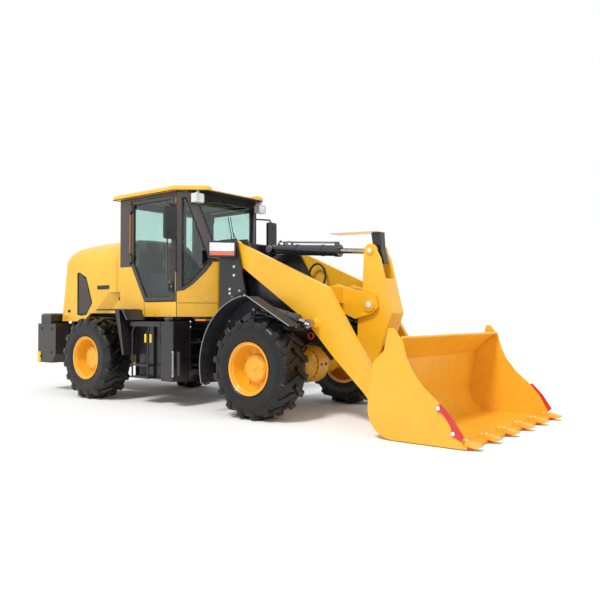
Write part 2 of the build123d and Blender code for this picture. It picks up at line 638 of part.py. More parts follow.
def door_prism(shrink, y0, y1):
    return Pos(0, y0, 0) * extrude(door_face(shrink), amount=y1 - y0, dir=(0, 1, 0))


def cab_ring(outer, inner):
    return cab_form(outer, CAB_FLOOR_Z, ROOF_Z) - cab_form(inner, CAB_FLOOR_Z - 1, ROOF_Z + 1)


def side_windows():
    """Openings for the slanted front quarter windows and the rear window."""
    lean = [(CAB_NOSE_X - 75, WAIST_Z + 40), (CAB_NOSE_X - 75 - WIND_LEAN * (RAIL_Z - WAIST_Z - 40), RAIL_Z)]
    quarter = [(CAB_POST_X + 45, 1440), (CAB_POST_X + 115, 1515), (CAB_POST_X + 215, 1690), lean[0], lean[1],
               (CAB_POST_X + 45, RAIL_Z)]
    tool = both(plate_y(quarter, 200, CAB_HALF + 10))
    rear = plate_x([(-560, WAIST_Z), (560, WAIST_Z), (560, RAIL_Z), (-560, RAIL_Z)],
                   CAB_REAR_X - 10, CAB_REAR_X + 100)
    return tool, rear


def windshield_opening():
    def half(z):
        spread = WIND_LEAN * (z - WAIST_Z) * (CAB_HALF - NOSE_HALF) / (CAB_NOSE_X - CAB_POST_X)
        return NOSE_HALF + spread - 45
    z0, z1 = WAIST_Z + 30, RAIL_Z
    outline = [(-half(z0), z0), (half(z0), z0), (half(z1), z1), (-half(z1), z1)]
    return plate_x(outline, CAB_NOSE_X - 350, CAB_NOSE_X + 20)


def cab_windows():
    tool, rear = side_windows()
    return tool + rear + windshield_opening()


def cab_panels():
    """Painted lower walls: swept cowl, sills and rear quarters."""
    doors = both(door_prism(0, CAB_HALF - CAB_WALL - 60, CAB_HALF + 10))
    return (cab_ring(0, CAB_WALL) & yellow_zone()) - doors


def cab_frame():
    """Pillars and rails, with the window and door openings cut."""
    doors = both(door_prism(0, CAB_HALF - CAB_WALL - 60, CAB_HALF + 10))
    return cab_ring(0, CAB_WALL) - yellow_zone() - doors - cab_windows()


def cab_glass():
    return cab_ring(GLASS_IN, GLASS_IN + GLASS_T) & cab_windows()


def cab_floor():
    return cab_form(CAB_WALL, CAB_FLOOR_Z, CAB_FLOOR_Z + 40)


def cab_roof():
    """Roof pan with a thick edge at the sides and a thin one over the windshield."""
    plan = ROOF_PLAN + [(x, -y) for x, y in reversed(ROOF_PLAN)]
    roof = plate_z(plan, ROOF_Z, ROOF_TOP_Z)
    roof = chamfer(roof.edges().group_by(Axis.Z)[-1], 28)
    x = CAB_NOSE_X
    nose = [(x - 310, ROOF_TOP_Z + 1), (x - 310, ROOF_TOP_Z - 1), (x - 120, ROOF_Z + 16), (x + 70, ROOF_Z + 12),
            (x + 70, ROOF_TOP_Z + 1)]
    return roof - plate_y(nose, -430, 430)


def door(side):
    """Full-height door: frame, hinges on its rear edge, handle bar; side +1 is left."""
    leaf = door_prism(GAP, CAB_HALF - DOOR_T, CAB_HALF)
    leaf -= door_prism(GAP + 48, CAB_HALF - DOOR_T - 1, CAB_HALF + 1)
    for z in HINGE_Z:
        leaf += block(DOOR_REAR_X + GAP + 2, DOOR_REAR_X + 60, CAB_HALF - 2, CAB_HALF + 10, z, z + 90)
        leaf += disc_z(DOOR_REAR_X, CAB_HALF + 16, z, z + 90, 12)
        leaf += block(DOOR_REAR_X, DOOR_REAR_X + 40, CAB_HALF + 4, CAB_HALF + 22, z, z + 90)
    x = CAB_POST_X - 130
    leaf += bar((x, CAB_HALF + 35, 1500), (x, CAB_HALF + 35, 2050), 9)
    for z in (1500, 2050):
        leaf += bar((x, CAB_HALF + 35, z), (x + 60, CAB_HALF - 10, z), 9)
    return leaf if side > 0 else mirror(leaf, about=Plane.XZ)


def door_glass(side):
    y = CAB_HALF - GLASS_IN - GLASS_T
    pane = door_prism(GAP + 48, y, y + GLASS_T)
    return pane if side > 0 else mirror(pane, about=Plane.XZ)


def door_hinges():
    """Hinge halves on the cab's side, between the door's own knuckles."""
    tab = None
    for z in HINGE_Z:
        for z0 in (z - 22 - CLEAR, z + 90 + CLEAR):
            piece = disc_z(DOOR_REAR_X, CAB_HALF + 16, z0, z0 + 22, 12)
            piece += block(DOOR_REAR_X - 50, DOOR_REAR_X, CAB_HALF, CAB_HALF + 16, z0, z0 + 22)
            tab = piece if tab is None else tab + piece
    return both(tab)


def seat_base():
    base = block(SEAT_X - 200, SEAT_X + 200, -200, 200, CAB_FLOOR_Z + 40, CAB_FLOOR_Z + 330)
    return base + block(SEAT_X - 240, SEAT_X + 220, -230, 230, CAB_FLOOR_Z + 330, CAB_FLOOR_Z + 360)


def seat_cushion():
    pad = block(SEAT_X - 230, SEAT_X + 240, -240, 240, CAB_FLOOR_Z + 360, CAB_FLOOR_Z + 470)
    return fillet(pad.edges(), 30)


def seat_back():
    z0 = CAB_FLOOR_Z + 470 + CLEAR
    side = [(SEAT_X - 225, z0), (SEAT_X - 110, z0), (SEAT_X - 180, z0 + 520), (SEAT_X - 280, z0 + 520)]
    back = plate_y(side, -230, 230)
    return fillet(back.edges(), 28)


def console():
    """Front console with the raked steering column."""
    x, z = WHEEL_HUB
    return plate_y(CONSOLE, -170, 170) + bar((x + 100, 0, z - 170), (x, 0, z), 35)


def steering_wheel():
    hub = Vector(WHEEL_HUB[0], 0, WHEEL_HUB[1])
    axis = Vector(-100, 0, 170).normalized()
    plane = Plane(origin=hub + axis * 12, x_dir=(0, 1, 0), z_dir=axis)
    wheel = plane * Torus(200, 15)
    wheel += plane * Cylinder(42, 24)
    for a in (90, 210, 330):
        end = plane.from_local_coords((200 * cos(radians(a)), 200 * sin(radians(a)), 0))
        wheel += bar(tuple(plane.origin), tuple(end), 9)
    return wheel


def side_console():
    body = block(SEAT_X - 150, SEAT_X + 330, -560, -320, CAB_FLOOR_Z + 40, CAB_FLOOR_Z + 560)
    lever = bar((SEAT_X + 250, -440, CAB_FLOOR_Z + 555), (SEAT_X + 270, -430, CAB_FLOOR_Z + 760), 12)
    knob = Pos(SEAT_X + 270, -430, CAB_FLOOR_Z + 775) * Sphere(26)
    return fillet(body.edges().filter_by(Axis.Z), 30) + lever + knob


def mirrors():
    """Large mirror on a bent arm at each front door post."""
    x = CAB_POST_X + 100
    upper, lower = ROOF_Z - 190, ROOF_Z - 570     # heights of the two arms
    head = block(x, x + 35, CAB_HALF + 110, CAB_HALF + 290, lower - 50, upper - 40)
    head = fillet(head.edges().filter_by(Axis.X), 30)
    post = CAB_POST_X - 20
    arm = bar((post, CAB_HALF + 8, upper), (x - 20, CAB_HALF + 200, upper), 11)
    arm += bar((x - 20, CAB_HALF + 200, upper), (x + 15, CAB_HALF + 200, upper - 50), 11)
    arm += bar((post, CAB_HALF + 8, lower), (x + 15, CAB_HALF + 130, lower), 9)
    for z in (lower, upper):
        arm += block(post - 17, post + 17, CAB_HALF, CAB_HALF + 14, z - 35, z + 35)
    arm -= block(post - 60, post + 60, 0, CAB_HALF, lower - 60, upper + 60)
    return both(head + arm)


def work_lamps():
    """Square lamp under each front corner of the roof."""
    x, y = CAB_NOSE_X - 160, NOSE_HALF + 175
    lamp = block(x, x + 85, y, y + 130, ROOF_Z - 152, ROOF_Z - 42)
    lamp += block(x + 20, x + 50, y + 45, y + 65, ROOF_Z - 43, ROOF_Z)
    return both(lamp)


def steer_barrel(side):
    """Steering cylinder barrel, its rear eye on the rear frame's pin."""
    x0, y0 = PIVOT_X + STEER_REAR[0], STEER_REAR[1]
    x1, y1 = PIVOT_X + STEER_FRONT[0], STEER_FRONT[1]
    length = hypot(x1 - x0, y1 - y0)
    ux, uy = (x1 - x0) / length, (y1 - y0) / length

    def at(distance):
        return (x0 + ux * distance, y0 + uy * distance, STEER_Z)
    tube = bar(at(58), at(640), STEER_BARREL_R) - bar(at(80), at(641), STEER_ROD_R + CLEAR)
    tube += bar(at(0), at(59), 28)
    tube += disc_z(x0, y0, STEER_Z - 30, STEER_Z + 30, 38)
    tube -= disc_z(x0, y0, STEER_Z - 40, STEER_Z + 40, 18 + CLEAR)
    return tube if side > 0 else mirror(tube, about=Plane.XZ)


def steer_rod(side):
    x0, y0 = PIVOT_X + STEER_REAR[0], STEER_REAR[1]
    x1, y1 = PIVOT_X + STEER_FRONT[0], STEER_FRONT[1]
    length = hypot(x1 - x0, y1 - y0)
    ux, uy = (x1 - x0) / length, (y1 - y0) / length
    rod = bar((x0 + ux * 345, y0 + uy * 345, STEER_Z), (x1, y1, STEER_Z), STEER_ROD_R)
    rod += disc_z(x1, y1, STEER_Z - 28, STEER_Z + 28, 36)
    return rod if side > 0 else mirror(rod, about=Plane.XZ)


# ---- front frame side -------------------------------------------------------------
def front_frame():
    """Side plates over the front axle, deck, and the single ears of the articulation."""
    y0, y1 = TOWER_IN, TOWER_IN + TOWER_IN_T
    frame = both(plate_y(FRONT_PLATE, y0, y1))
    frame += block(FRAME_REAR_X, 260, -y1, y1, DECK_Z, DECK_Z + DECK_T)
    wall = block(FRAME_REAR_X, FRAME_REAR_X + 25, -y1, y1, EAR_LOW_Z - EAR_T / 2, DECK_Z)
    wall -= bar((FRAME_REAR_X - 50, 0, TYRE_R), (FRAME_REAR_X + 50, 0, TYRE_R), 70)
    frame += wall
    frame += block(560, 590, -y1, y1, 740, 800)
    frame += block(-290, -265, -y1, y1, 700, DECK_Z)
    frame += block(FRAME_REAR_X, -265, -y1, y1, EAR_LOW_Z - EAR_T / 2, EAR_LOW_Z - EAR_T / 2 + 20)
    for z in (EAR_TOP_Z, EAR_LOW_Z):
        outline = ear_outline(FRAME_REAR_X + 10, TOWER_IN, PIVOT_X, PIVOT_R + 50)
        ear = plate_z(outline, z - EAR_T / 2, z + EAR_T / 2)
        ear += disc_z(PIVOT_X, 0, z - EAR_T / 2, z + EAR_T / 2, PIVOT_R + 50)
        frame += ear - disc_z(PIVOT_X, 0, z - EAR_T, z + EAR_T, PIVOT_R + CLEAR)
    x, y = PIVOT_X + STEER_FRONT[0], STEER_FRONT[1]
    for side in (-1, 1):
        z0 = STEER_Z + side * (28 + CLEAR)
        z1 = z0 + side * 22
        frame += both(block(x - 45, FRAME_REAR_X + 1, y - 50, y + 38, min(z0, z1), max(z0, z1)))
    return frame


def boom_tower():
    """Paired plates that hold the boom, with the tilt cylinder's bracket on a cross box."""
    z0 = DECK_Z + DECK_T
    inner = [
        (TOWER_REAR_X, z0), (TOWER_REAR_X, TOWER_TOP_Z), (-560, TOWER_TOP_Z), (-330, 1600), (230, 1130),
        (230, z0),
    ]
    outer = [
        (TOWER_REAR_X, 1190), (TOWER_REAR_X, TOWER_TOP_Z), (-612, TOWER_TOP_Z), (-440, 1310), (-440, 1190),
    ]
    y_in, y_out = TOWER_IN, BOOM_OUT + 20
    tower = plate_y(inner, y_in, y_in + TOWER_IN_T)
    tower += plate_y(outer, y_out, y_out + TOWER_OUT_T)
    tower += block(TOWER_REAR_X, TOWER_REAR_X + 20, y_in, y_out + TOWER_OUT_T, 1190, TOWER_TOP_Z)
    tower += block(TOWER_REAR_X, -440, y_in, y_out + 1, 1190, 1210)
    tower += disc_y(*BOOM_PIN, y_in - 12, y_out + TOWER_OUT_T, PIN_R)
    tower += disc_y(*LIFT_BASE, y_out, LIFT_Y + 30 + CLEAR, PIN_R)
    tower += disc_y(*LIFT_BASE, LIFT_Y + 30 + CLEAR, LIFT_Y + 42, 48)
    tower += disc_y(*LIFT_BASE, y_out + TOWER_OUT_T - 1, LIFT_Y - 30 - CLEAR, 50)
    tower = both(tower)
    x, z = TILT_BASE
    tower += block(x - 250, x - 110, -y_in - 1, y_in + 1, z - 130, z + 60)
    tower += block(-330, -300, -y_in - 1, y_in + 1, z0, 1450)
    for side in (-1, 1):
        ear = plate_y([(x - 120, z - 100), (x - 120, z + 50), (x, z + 55), (x + 55, z), (x, z - 55)], 0, 26)
        tower += Pos(0, 52 if side > 0 else -78, 0) * ear
    return tower - disc_y(x, z, -90, 90, PIN_R - 2 + CLEAR)


def fender_arc(r, a0, a1):
    return [(r * cos(radians(a)), TYRE_R + r * sin(radians(a))) for a in (a0, (a0 + a1) / 2, a1)]


def fender_shell(r_out, r_in, a0, a1, y0, y1):
    """A stretch of a round guard between two radii and two angles about the wheel."""
    out, inn = fender_arc(r_out, a0, a1), fender_arc(r_in, a1, a0)
    with BuildPart() as shell:
        with BuildSketch(Plane(origin=(0, y0, 0), x_dir=(1, 0, 0), z_dir=(0, -1, 0))):
            with BuildLine():
                ThreePointArc(*out)
                Line(out[2], inn[0])
                ThreePointArc(*inn)
                Line(inn[2], out[0])
            make_face()
        extrude(amount=-(y1 - y0))
    return shell.part


def front_fenders():
    """Round guard behind each front wheel that slopes down ahead of its crest."""
    a0, a1 = 195, 99
    guard = fender_shell(FENDER_R, FENDER_R - FENDER_T, a0, a1, FENDER_IN, FENDER_OUT)
    guard += fender_shell(FENDER_R, FENDER_R - 130, a0, a1, FENDER_IN, FENDER_IN + FENDER_T)
    crest = fender_arc(FENDER_R, a0, a1)[2]
    front = (465.0, 990.0)
    slope = [crest, front, (front[0] - 4, front[1] - 9), (crest[0] - 2, crest[1] - FENDER_T - 1)]
    guard += plate_y(slope, FENDER_IN, 930)
    web = [crest, front, (front[0] - 8, front[1] - 30), (crest[0], crest[1] - 120)]
    guard += plate_y(web, FENDER_IN, FENDER_IN + FENDER_T)
    y = TOWER_IN + TOWER_IN_T
    for x, z in ((-560, 900), (-200, 1095), (405, 950)):
        guard += bar((x, y, z), (x, FENDER_IN + 5, z), 16)
    guard += plate_y([(-590, 880), (-530, 880), (-400, 1060), (-560, 1060)], FENDER_IN, FENDER_IN + FENDER_T)
    guard += plate_y([(-225, 1078), (-170, 1078), (-150, 1200), (-240, 1200)], FENDER_IN, FENDER_IN + FENDER_T)
    guard += plate_y([(385, 935), (445, 935), (445, 990), (385, 1020)], FENDER_IN, FENDER_IN + FENDER_T)
    return both(guard)


def headlamps():
    """Lamp housing on each tower plate, its lens turned outward."""
    y = BOOM_OUT + 20 + TOWER_OUT_T
    plan = [(LAMP_B[0], y), LAMP_B, LAMP_A, (LAMP_A[0] - 70, LAMP_A[1] - 60), (LAMP_A[0] - 30, y)]
    return both(plate_z(plan, LAMP_Z0, LAMP_Z1))


def headlamp_lenses():
    dx, dy = LAMP_A[0] - LAMP_B[0], LAMP_A[1] - LAMP_B[1]
    length = hypot(dx, dy)
    ux, uy = dx / length, dy / length
    nx, ny = uy, -ux
    edge = 18
    a = (LAMP_B[0] + ux * edge, LAMP_B[1] + uy * edge)
    b = (LAMP_A[0] - ux * edge, LAMP_A[1] - uy * edge)
    plan = [a, b, (b[0] + nx * 8, b[1] + ny * 8), (a[0] + nx * 8, a[1] + ny * 8)]
    return both(plate_z(plan, LAMP_Z0 + edge, LAMP_Z1 - edge))


def rear_drive_shaft():
    """Shaft from the rear axle to the eye of the joint under the articulation."""
    shaft = bar((REAR_X + 330, 0, TYRE_R), (PIVOT_X - 20, 0, TYRE_R), SHAFT_R)
    shaft += bar((REAR_X + 330, 0, TYRE_R), (REAR_X + 355, 0, TYRE_R), SHAFT_R + 30)
    shaft += disc_z(PIVOT_X, 0, TYRE_R - 28, TYRE_R + 28, 34)
    return shaft - disc_z(PIVOT_X, 0, TYRE_R - 40, TYRE_R + 40, 14 + CLEAR)


def front_drive_shaft():
    """Shaft from the front axle to the fork of the joint under the articulation."""
    shaft = bar((-330, 0, TYRE_R), (PIVOT_X + 60, 0, TYRE_R), SHAFT_R)
    shaft += bar((-330, 0, TYRE_R), (-355, 0, TYRE_R), SHAFT_R + 30)
    shaft += block(PIVOT_X + 58, PIVOT_X + 80, -28, 28, TYRE_R - 42, TYRE_R + 42)
    for side in (-1, 1):
        z0, z1 = sorted((TYRE_R + side * 30, TYRE_R + side * 42))
        shaft += block(PIVOT_X, PIVOT_X + 80, -28, 28, z0, z1) + disc_z(PIVOT_X, 0, z0, z1, 28)
    return shaft + disc_z(PIVOT_X, 0, TYRE_R - 35, TYRE_R + 35, 14)


# ---- loader linkage ---------------------------------------------------------------
def boom():
    """Two arms joined by a cross box, with the rocker's bracket and all of its bosses."""
    y0, y1 = BOOM_OUT - BOOM_T, BOOM_OUT
    arm = plate_y(ARM, y0, y1)
    arm += disc_y(*BOOM_PIN, y0, y1, BOOM_END_R)
    arm += disc_y(*BUCKET_PIN, y0, y1, 98)
    arm += disc_y(*LIFT_PIN, y1 - 1, LIFT_Y - 30 - CLEAR, 46)
    arm -= disc_y(*BOOM_PIN, y0 - 1, y1 + 1, PIN_R + CLEAR)
    arm -= disc_y(*BUCKET_PIN, y0 - 1, y1 + 1, PIN_R + CLEAR)
    arm += plate_y(BRACKET, BRACKET_IN, BRACKET_IN + 34)
    arm += disc_y(*ROCKER_PIN, BRACKET_IN, BRACKET_IN + 48, 70)
    frame = both(arm)
    frame += plate_y(CROSS, -y0 - 1, y0 + 1)
    frame += disc_y(*ROCKER_PIN, -BRACKET_IN - 30, BRACKET_IN + 30, PIN_R)
    return frame


def rocker():
    """Z-bar rocker: two side plates, front web, forked top and lower end."""
    plates = plate_y(ROCKER, ROCKER_HALF - ROCKER_T, ROCKER_HALF)
    plates += disc_y(*ROCKER_TOP, ROCKER_HALF - ROCKER_T, ROCKER_HALF, 75)
    plates += disc_y(*ROCKER_LOW, ROCKER_HALF - ROCKER_T, ROCKER_HALF, 75)
    plates += disc_y(*ROCKER_TOP, 51, ROCKER_HALF - ROCKER_T + 1, 50)
    plates += disc_y(*ROCKER_TOP, ROCKER_HALF - 1, ROCKER_HALF + 14, 44)
    plates = both(plates)
    web = [(1068, 1480), (1092, 1490), (1187, 1120), (1060, 780), (1030, 780), (1150, 1115)]
    plates += plate_y(web, -ROCKER_HALF + 1, ROCKER_HALF - 1)
    plates += disc_y(*ROCKER_LOW, -ROCKER_HALF - 12, ROCKER_HALF + 12, PIN_R)
    plates += disc_y(*ROCKER_PIN, -ROCKER_HALF, ROCKER_HALF, 85)
    return plates - disc_y(*ROCKER_PIN, -ROCKER_HALF - 1, ROCKER_HALF + 1, PIN_R + CLEAR)


def guard_post():
    """Post on the tilt rod's eye, between the rocker's plates."""
    return plate_y(GUARD_POST, -45, 45) - disc_y(*ROCKER_TOP, -60, 60, ROD_EYE_R)


def guard_plate():
    """Flat plate over the tilt rod, on the post."""
    return plate_y([(368, 2010), (984, 1990), (984, 1998), (368, 2018)], -95, 95)


def bucket_link():
    """Link from the rocker's lower pin to the bucket's upper pin."""
    end = bucket_link_pin()
    link = bar((ROCKER_LOW[0], 0, ROCKER_LOW[1]), (end[0], 0, end[1]), 40)
    link += disc_y(*ROCKER_LOW, -ROCKER_HALF + ROCKER_T + CLEAR, ROCKER_HALF - ROCKER_T - CLEAR, 62)
    link += disc_y(*end, -58, 58, 55)
    return link - disc_y(*ROCKER_LOW, -ROCKER_HALF, ROCKER_HALF, PIN_R + CLEAR)


# ---- bucket -----------------------------------------------------------------------
def bucket_profile(inset):
    """Bucket back and floor as one outline, closed across the mouth."""
    with BuildPart() as form:
        with BuildSketch(Plane.XZ):
            with BuildLine():
                heel, low, back, bend, knee, lip = BUCKET_BACK
                heel = (heel[0], heel[1] + inset)
                low = (low[0] + inset * 0.75, low[1] + inset * 0.7)
                back = (back[0] + inset, back[1])
                bend = (bend[0] + inset, bend[1])
                knee = (knee[0] + inset * 0.7, knee[1] - inset * 0.4)
                above = (3 * lip[0] - 2 * knee[0], 3 * lip[1] - 2 * knee[1])
                mouth_x = TOOTH_TIP_X + 60
                ThreePointArc(heel, low, back)
                Polyline(back, bend, knee, above, (mouth_x, above[1]), (mouth_x, heel[1]), heel)
            make_face()
        extrude(amount=BUCKET_HALF + 50, both=True)
    return form.part


def bucket():
    """Bucket shell with side plates, top ears, cutting edge and hinge ears."""
    y = BUCKET_HALF - BUCKET_SIDE_T
    lip = BUCKET_BACK[-1]
    shell = bucket_profile(0) - bucket_profile(BUCKET_WALL)
    shell = shell & block(1000, TOOTH_TIP_X - 112, -y, y, 0, lip[1])
    side = BUCKET_BACK[:-1] + [(1711, 985)] + SIDE_FRONT + [(2420, 8)]
    shell += both(plate_y(side, y, BUCKET_HALF))
    shell += block(TOOTH_TIP_X - 232, TOOTH_TIP_X - 102, -BUCKET_HALF, BUCKET_HALF, 8, 34)
    link = bucket_link_pin()
    ears = None
    for y0 in (BOOM_OUT - BOOM_T - GAP - 30, BOOM_OUT + GAP):
        ear = plate_y(BUCKET_EAR, y0, y0 + 30)
        ear += disc_y(*BUCKET_PIN, y0, y0 + 30, 92)
        ears = ear if ears is None else ears + ear
    ears += disc_y(*BUCKET_PIN, BOOM_OUT - BOOM_T - GAP - 44, BOOM_OUT + GAP + 44, PIN_R)
    link_ear = [(link[0] - 50, link[1] - 30), (1600, 380), (1600, 740), (link[0] - 30, link[1] + 50)]
    ears += plate_y(link_ear, 62, 90)
    ears += disc_y(*link, 62, 90, 60)
    ears = both(ears) - bucket_profile(BUCKET_WALL)
    return shell + ears


def tooth_places():
    return [(-TOOTH_SPAN / 2 + TOOTH_SPAN * i / (TOOTH_COUNT - 1)) for i in range(TOOTH_COUNT)]


def bucket_teeth():
    """Teeth along the cutting edge, each with its adapter, clear of one another."""
    teeth = None
    for y in tooth_places():
        tooth = plate_y(TOOTH, y - TOOTH_W / 2, y + TOOTH_W / 2)
        teeth = tooth if teeth is None else teeth + tooth
    return teeth


def side_cutters():
    """Bolted wear plate on the lower front edge of each bucket side."""
    outline = [(2150, 375), (2205, 395), (2330, 250), (2425, 110), (2395, 75), (2290, 190)]
    return both(plate_y(outline, BUCKET_HALF, BUCKET_HALF + 22))


def cylinder_barrel(base, pin, y, start, length, radius, rod_r, eye_half, eye_r, base_pin_r):
    """Cylinder barrel from its base eye, bored for the rod."""
    ux, uz, _ = unit(base, pin)

    def at(d):
        return (base[0] + ux * d, y, base[1] + uz * d)
    tube = bar(at(start), at(length), radius) + bar(at(0), at(start + 1), min(eye_half, radius * 0.7))
    tube += bar(at(length - 60), at(length), radius + 8)
    tube += disc_y(*base, y - eye_half, y + eye_half, eye_r)
    tube -= bar(at(100), at(length + 1), rod_r + CLEAR)
    return tube - disc_y(*base, y - eye_half - 30, y + eye_half + 30, base_pin_r + CLEAR)


def cylinder_rod(base, pin, y, start, rod_r, eye_half, eye_r):
    ux, uz, length = unit(base, pin)
    p = (base[0] + ux * start, y, base[1] + uz * start)
    rod = bar(p, (pin[0], y, pin[1]), rod_r)
    return rod + disc_y(*pin, y - eye_half, y + eye_half, eye_r)


def lift_barrel(side):
    piece = cylinder_barrel(LIFT_BASE, LIFT_PIN, LIFT_Y, 58, LIFT_BARREL_L, LIFT_BARREL_R, LIFT_ROD_R,
                            30, 52, PIN_R)
    return piece if side > 0 else mirror(piece, about=Plane.XZ)


def lift_rod(side):
    piece = cylinder_rod(LIFT_BASE, LIFT_PIN, LIFT_Y, 150, LIFT_ROD_R, 30, 50)
    piece += disc_y(*LIFT_PIN, LIFT_Y + 29, LIFT_Y + 38, 44)
    return piece if side > 0 else mirror(piece, about=Plane.XZ)


def tilt_barrel():
    piece = cylinder_barrel(TILT_BASE, ROCKER_TOP, 0, 72, TILT_BARREL_L, TILT_BARREL_R, TILT_ROD_R,
                            50, 54, PIN_R - 2)
    ux, uz, _ = unit(TILT_BASE, ROCKER_TOP)
    nx, nz = -uz, ux
    for y, d0 in ((-26, 180), (26, 260)):
        def at(d, h):
            return (TILT_BASE[0] + ux * d + nx * h, y, TILT_BASE[1] + uz * d + nz * h)
        piece += bar(at(d0, 92), at(TILT_BARREL_L - 40, 92), 9)
        piece += bar(at(d0 + 10, 50), at(d0 + 10, 92), 13)
        piece += bar(at(TILT_BARREL_L - 50, 50), at(TILT_BARREL_L - 50, 92), 13)
    return piece


def tilt_rod():
    return cylinder_rod(TILT_BASE, ROCKER_TOP, 0, 520, TILT_ROD_R, 50, ROD_EYE_R)


def tilt_pin():
    x, z = TILT_BASE
    pin = disc_y(x, z, -84, 84, PIN_R - 2)
    return pin + disc_y(x, z, 78 + CLEAR, 92, 44) + disc_y(x, z, -92, -78 - CLEAR, 44)


# ---- the whole machine ------------------------------------------------------------
WHEELS = (("front_left", 0.0, 1), ("front_right", 0.0, -1),
          ("rear_left", REAR_X, 1), ("rear_right", REAR_X, -1))
SIDES = (("left", 1), ("right", -1))


def machine():
    """Every piece by its node name, still about the front axle."""
    pieces = {
        "rear_frame": rear_frame(),
        "rear_axle": axle(REAR_X, 1, RAIL_HALF - RAIL_T, RAIL_HALF),
        "rear_drive_shaft": rear_drive_shaft(),
        "engine_block": engine_block(),
        "counterweight": counterweight(),
        "tail_lamps": tail_lamps(),
        "hood": hood(),
        "hood_grilles": hood_grilles(),
        "rear_mudguards": rear_mudguards(),
        "side_tanks": side_tanks(),
        "ladders": ladders(),
        "cab_floor": cab_floor(),
        "cab_panels": cab_panels(),
        "cab_frame": cab_frame() + door_hinges(),
        "cab_glass": cab_glass(),
        "cab_roof": cab_roof(),
        "seat_base": seat_base(),
        "seat_cushions": seat_cushion() + seat_back(),
        "cab_consoles": console() + side_console(),
        "steering_wheel": steering_wheel(),
        "mirrors": mirrors(),
        "work_lamps": work_lamps(),
        "front_frame": front_frame(),
        "front_axle": axle(0.0, -1, TOWER_IN, TOWER_IN + TOWER_IN_T),
        "front_drive_shaft": front_drive_shaft(),
        "boom_tower": boom_tower(),
        "front_fenders": front_fenders(),
        "headlamps": headlamps(),
        "headlamp_lenses": headlamp_lenses(),
        "boom": boom(),
        "rocker": rocker(),
        "bucket_link": bucket_link(),
        "bucket": bucket(),
        "bucket_teeth": bucket_teeth(),
        "side_cutters": side_cutters(),
        "tilt_pin": tilt_pin(),
        "tilt_barrel": tilt_barrel(),
        "tilt_rod": tilt_rod(),
        "guard_post": guard_post(),
        "guard_plate": guard_plate(),
    }
    form = tyre_form()
    for name, x, side in WHEELS:
        pieces["tyre_" + name] = tyre(form, x, side)
        pieces["rim_" + name] = rim(x, side)
    for name, side in SIDES:
        pieces["door_" + name] = door(side)
        pieces["door_glass_" + name] = door_glass(side)
        pieces["steer_barrel_" + name] = steer_barrel(side)
        pieces["steer_rod_" + name] = steer_rod(side)
        pieces["lift_barrel_" + name] = lift_barrel(side)
        pieces["lift_rod_" + name] = lift_rod(side)
    return pieces


def main():
    os.makedirs("parts", exist_ok=True)
    for node, shape in machine().items():
        export_step(place(shape), f"parts/{node}.step")


if __name__ == "__main__":
    main()
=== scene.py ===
"""Looks of an articulated wheel loader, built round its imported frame.

Sizes and places are in millimetres: x ahead of the front axle, y to the left, z up from the ground.
at() turns a place into the frame's metres, and Mesh turns its sizes into metres.
"""
import math

import bpy
from mathutils import Matrix, Vector


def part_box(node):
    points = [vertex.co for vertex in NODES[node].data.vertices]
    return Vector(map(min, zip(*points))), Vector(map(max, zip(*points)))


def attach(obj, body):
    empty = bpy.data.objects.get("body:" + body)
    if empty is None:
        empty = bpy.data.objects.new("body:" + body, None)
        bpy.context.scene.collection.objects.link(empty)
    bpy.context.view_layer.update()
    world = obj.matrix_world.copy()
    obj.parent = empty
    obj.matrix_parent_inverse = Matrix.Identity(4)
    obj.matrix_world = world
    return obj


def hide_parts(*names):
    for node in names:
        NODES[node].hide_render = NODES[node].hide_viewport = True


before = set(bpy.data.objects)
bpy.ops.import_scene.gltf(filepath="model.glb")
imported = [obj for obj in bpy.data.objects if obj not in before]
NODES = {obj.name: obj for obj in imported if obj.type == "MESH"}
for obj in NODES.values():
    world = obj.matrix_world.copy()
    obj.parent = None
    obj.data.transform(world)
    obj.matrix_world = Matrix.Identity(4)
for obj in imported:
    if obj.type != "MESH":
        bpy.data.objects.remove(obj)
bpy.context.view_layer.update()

# ---- where things are ----------------------------------------------------------------
low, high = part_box("tyre_front_left")
AXLE_X = (low.x + high.x) / 2           # of the front axle in the frame, in metres like the next three
TYRE_R = (high.z - low.z) / 2
WHEEL_Y = (low.y + high.y) / 2
low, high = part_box("tyre_rear_left")
REAR_X = (low.x + high.x) / 2
AXLE_Z, REAR_AXLE = 538, -2926          # from here on in millimetres
HOOD_Y, CAB_Y, TANK_Y, WEIGHT_Y = 650, 720, 930, 850        # outer faces
TOWER_Y, FRAME_Y, CHEEK_Y = 600, 470, 1047
BOTH = (1, -1)                          # left and right
SIDES = (("left", 1), ("right", -1))
CORNERS = ("front_left", "front_right", "rear_left", "rear_right")
X, Y, Z = Vector((1, 0, 0)), Vector((0, 1, 0)), Vector((0, 0, 1))


def at(x, y, z):
    """A point in metres of the frame."""
    return Vector((AXLE_X + x / 1000, y / 1000, z / 1000))


def run(side, *points):
    """Points written for the left side, or mirrored to the right."""
    return [at(x, side * y, z) for x, y, z in points]


def circle(count, turn=0.0):
    """Evenly spaced angles; turn shifts them by a share of one step."""
    return [math.tau * (k + turn) / count for k in range(count)]


def around(centre, radius, count, u=X, v=Z, turn=0.0):
    """Evenly spaced points on a circle in the plane of u and v."""
    return [centre + (u * math.cos(a) + v * math.sin(a)) * radius / 1000 for a in circle(count, turn)]


def arc(centre, radius, start, end, steps):
    """Points on an upright arc along the machine, in degrees up from straight ahead."""
    angles = [math.radians(start + (end - start) * k / steps) for k in range(steps + 1)]
    return [centre + (X * math.cos(a) + Z * math.sin(a)) * radius / 1000 for a in angles]


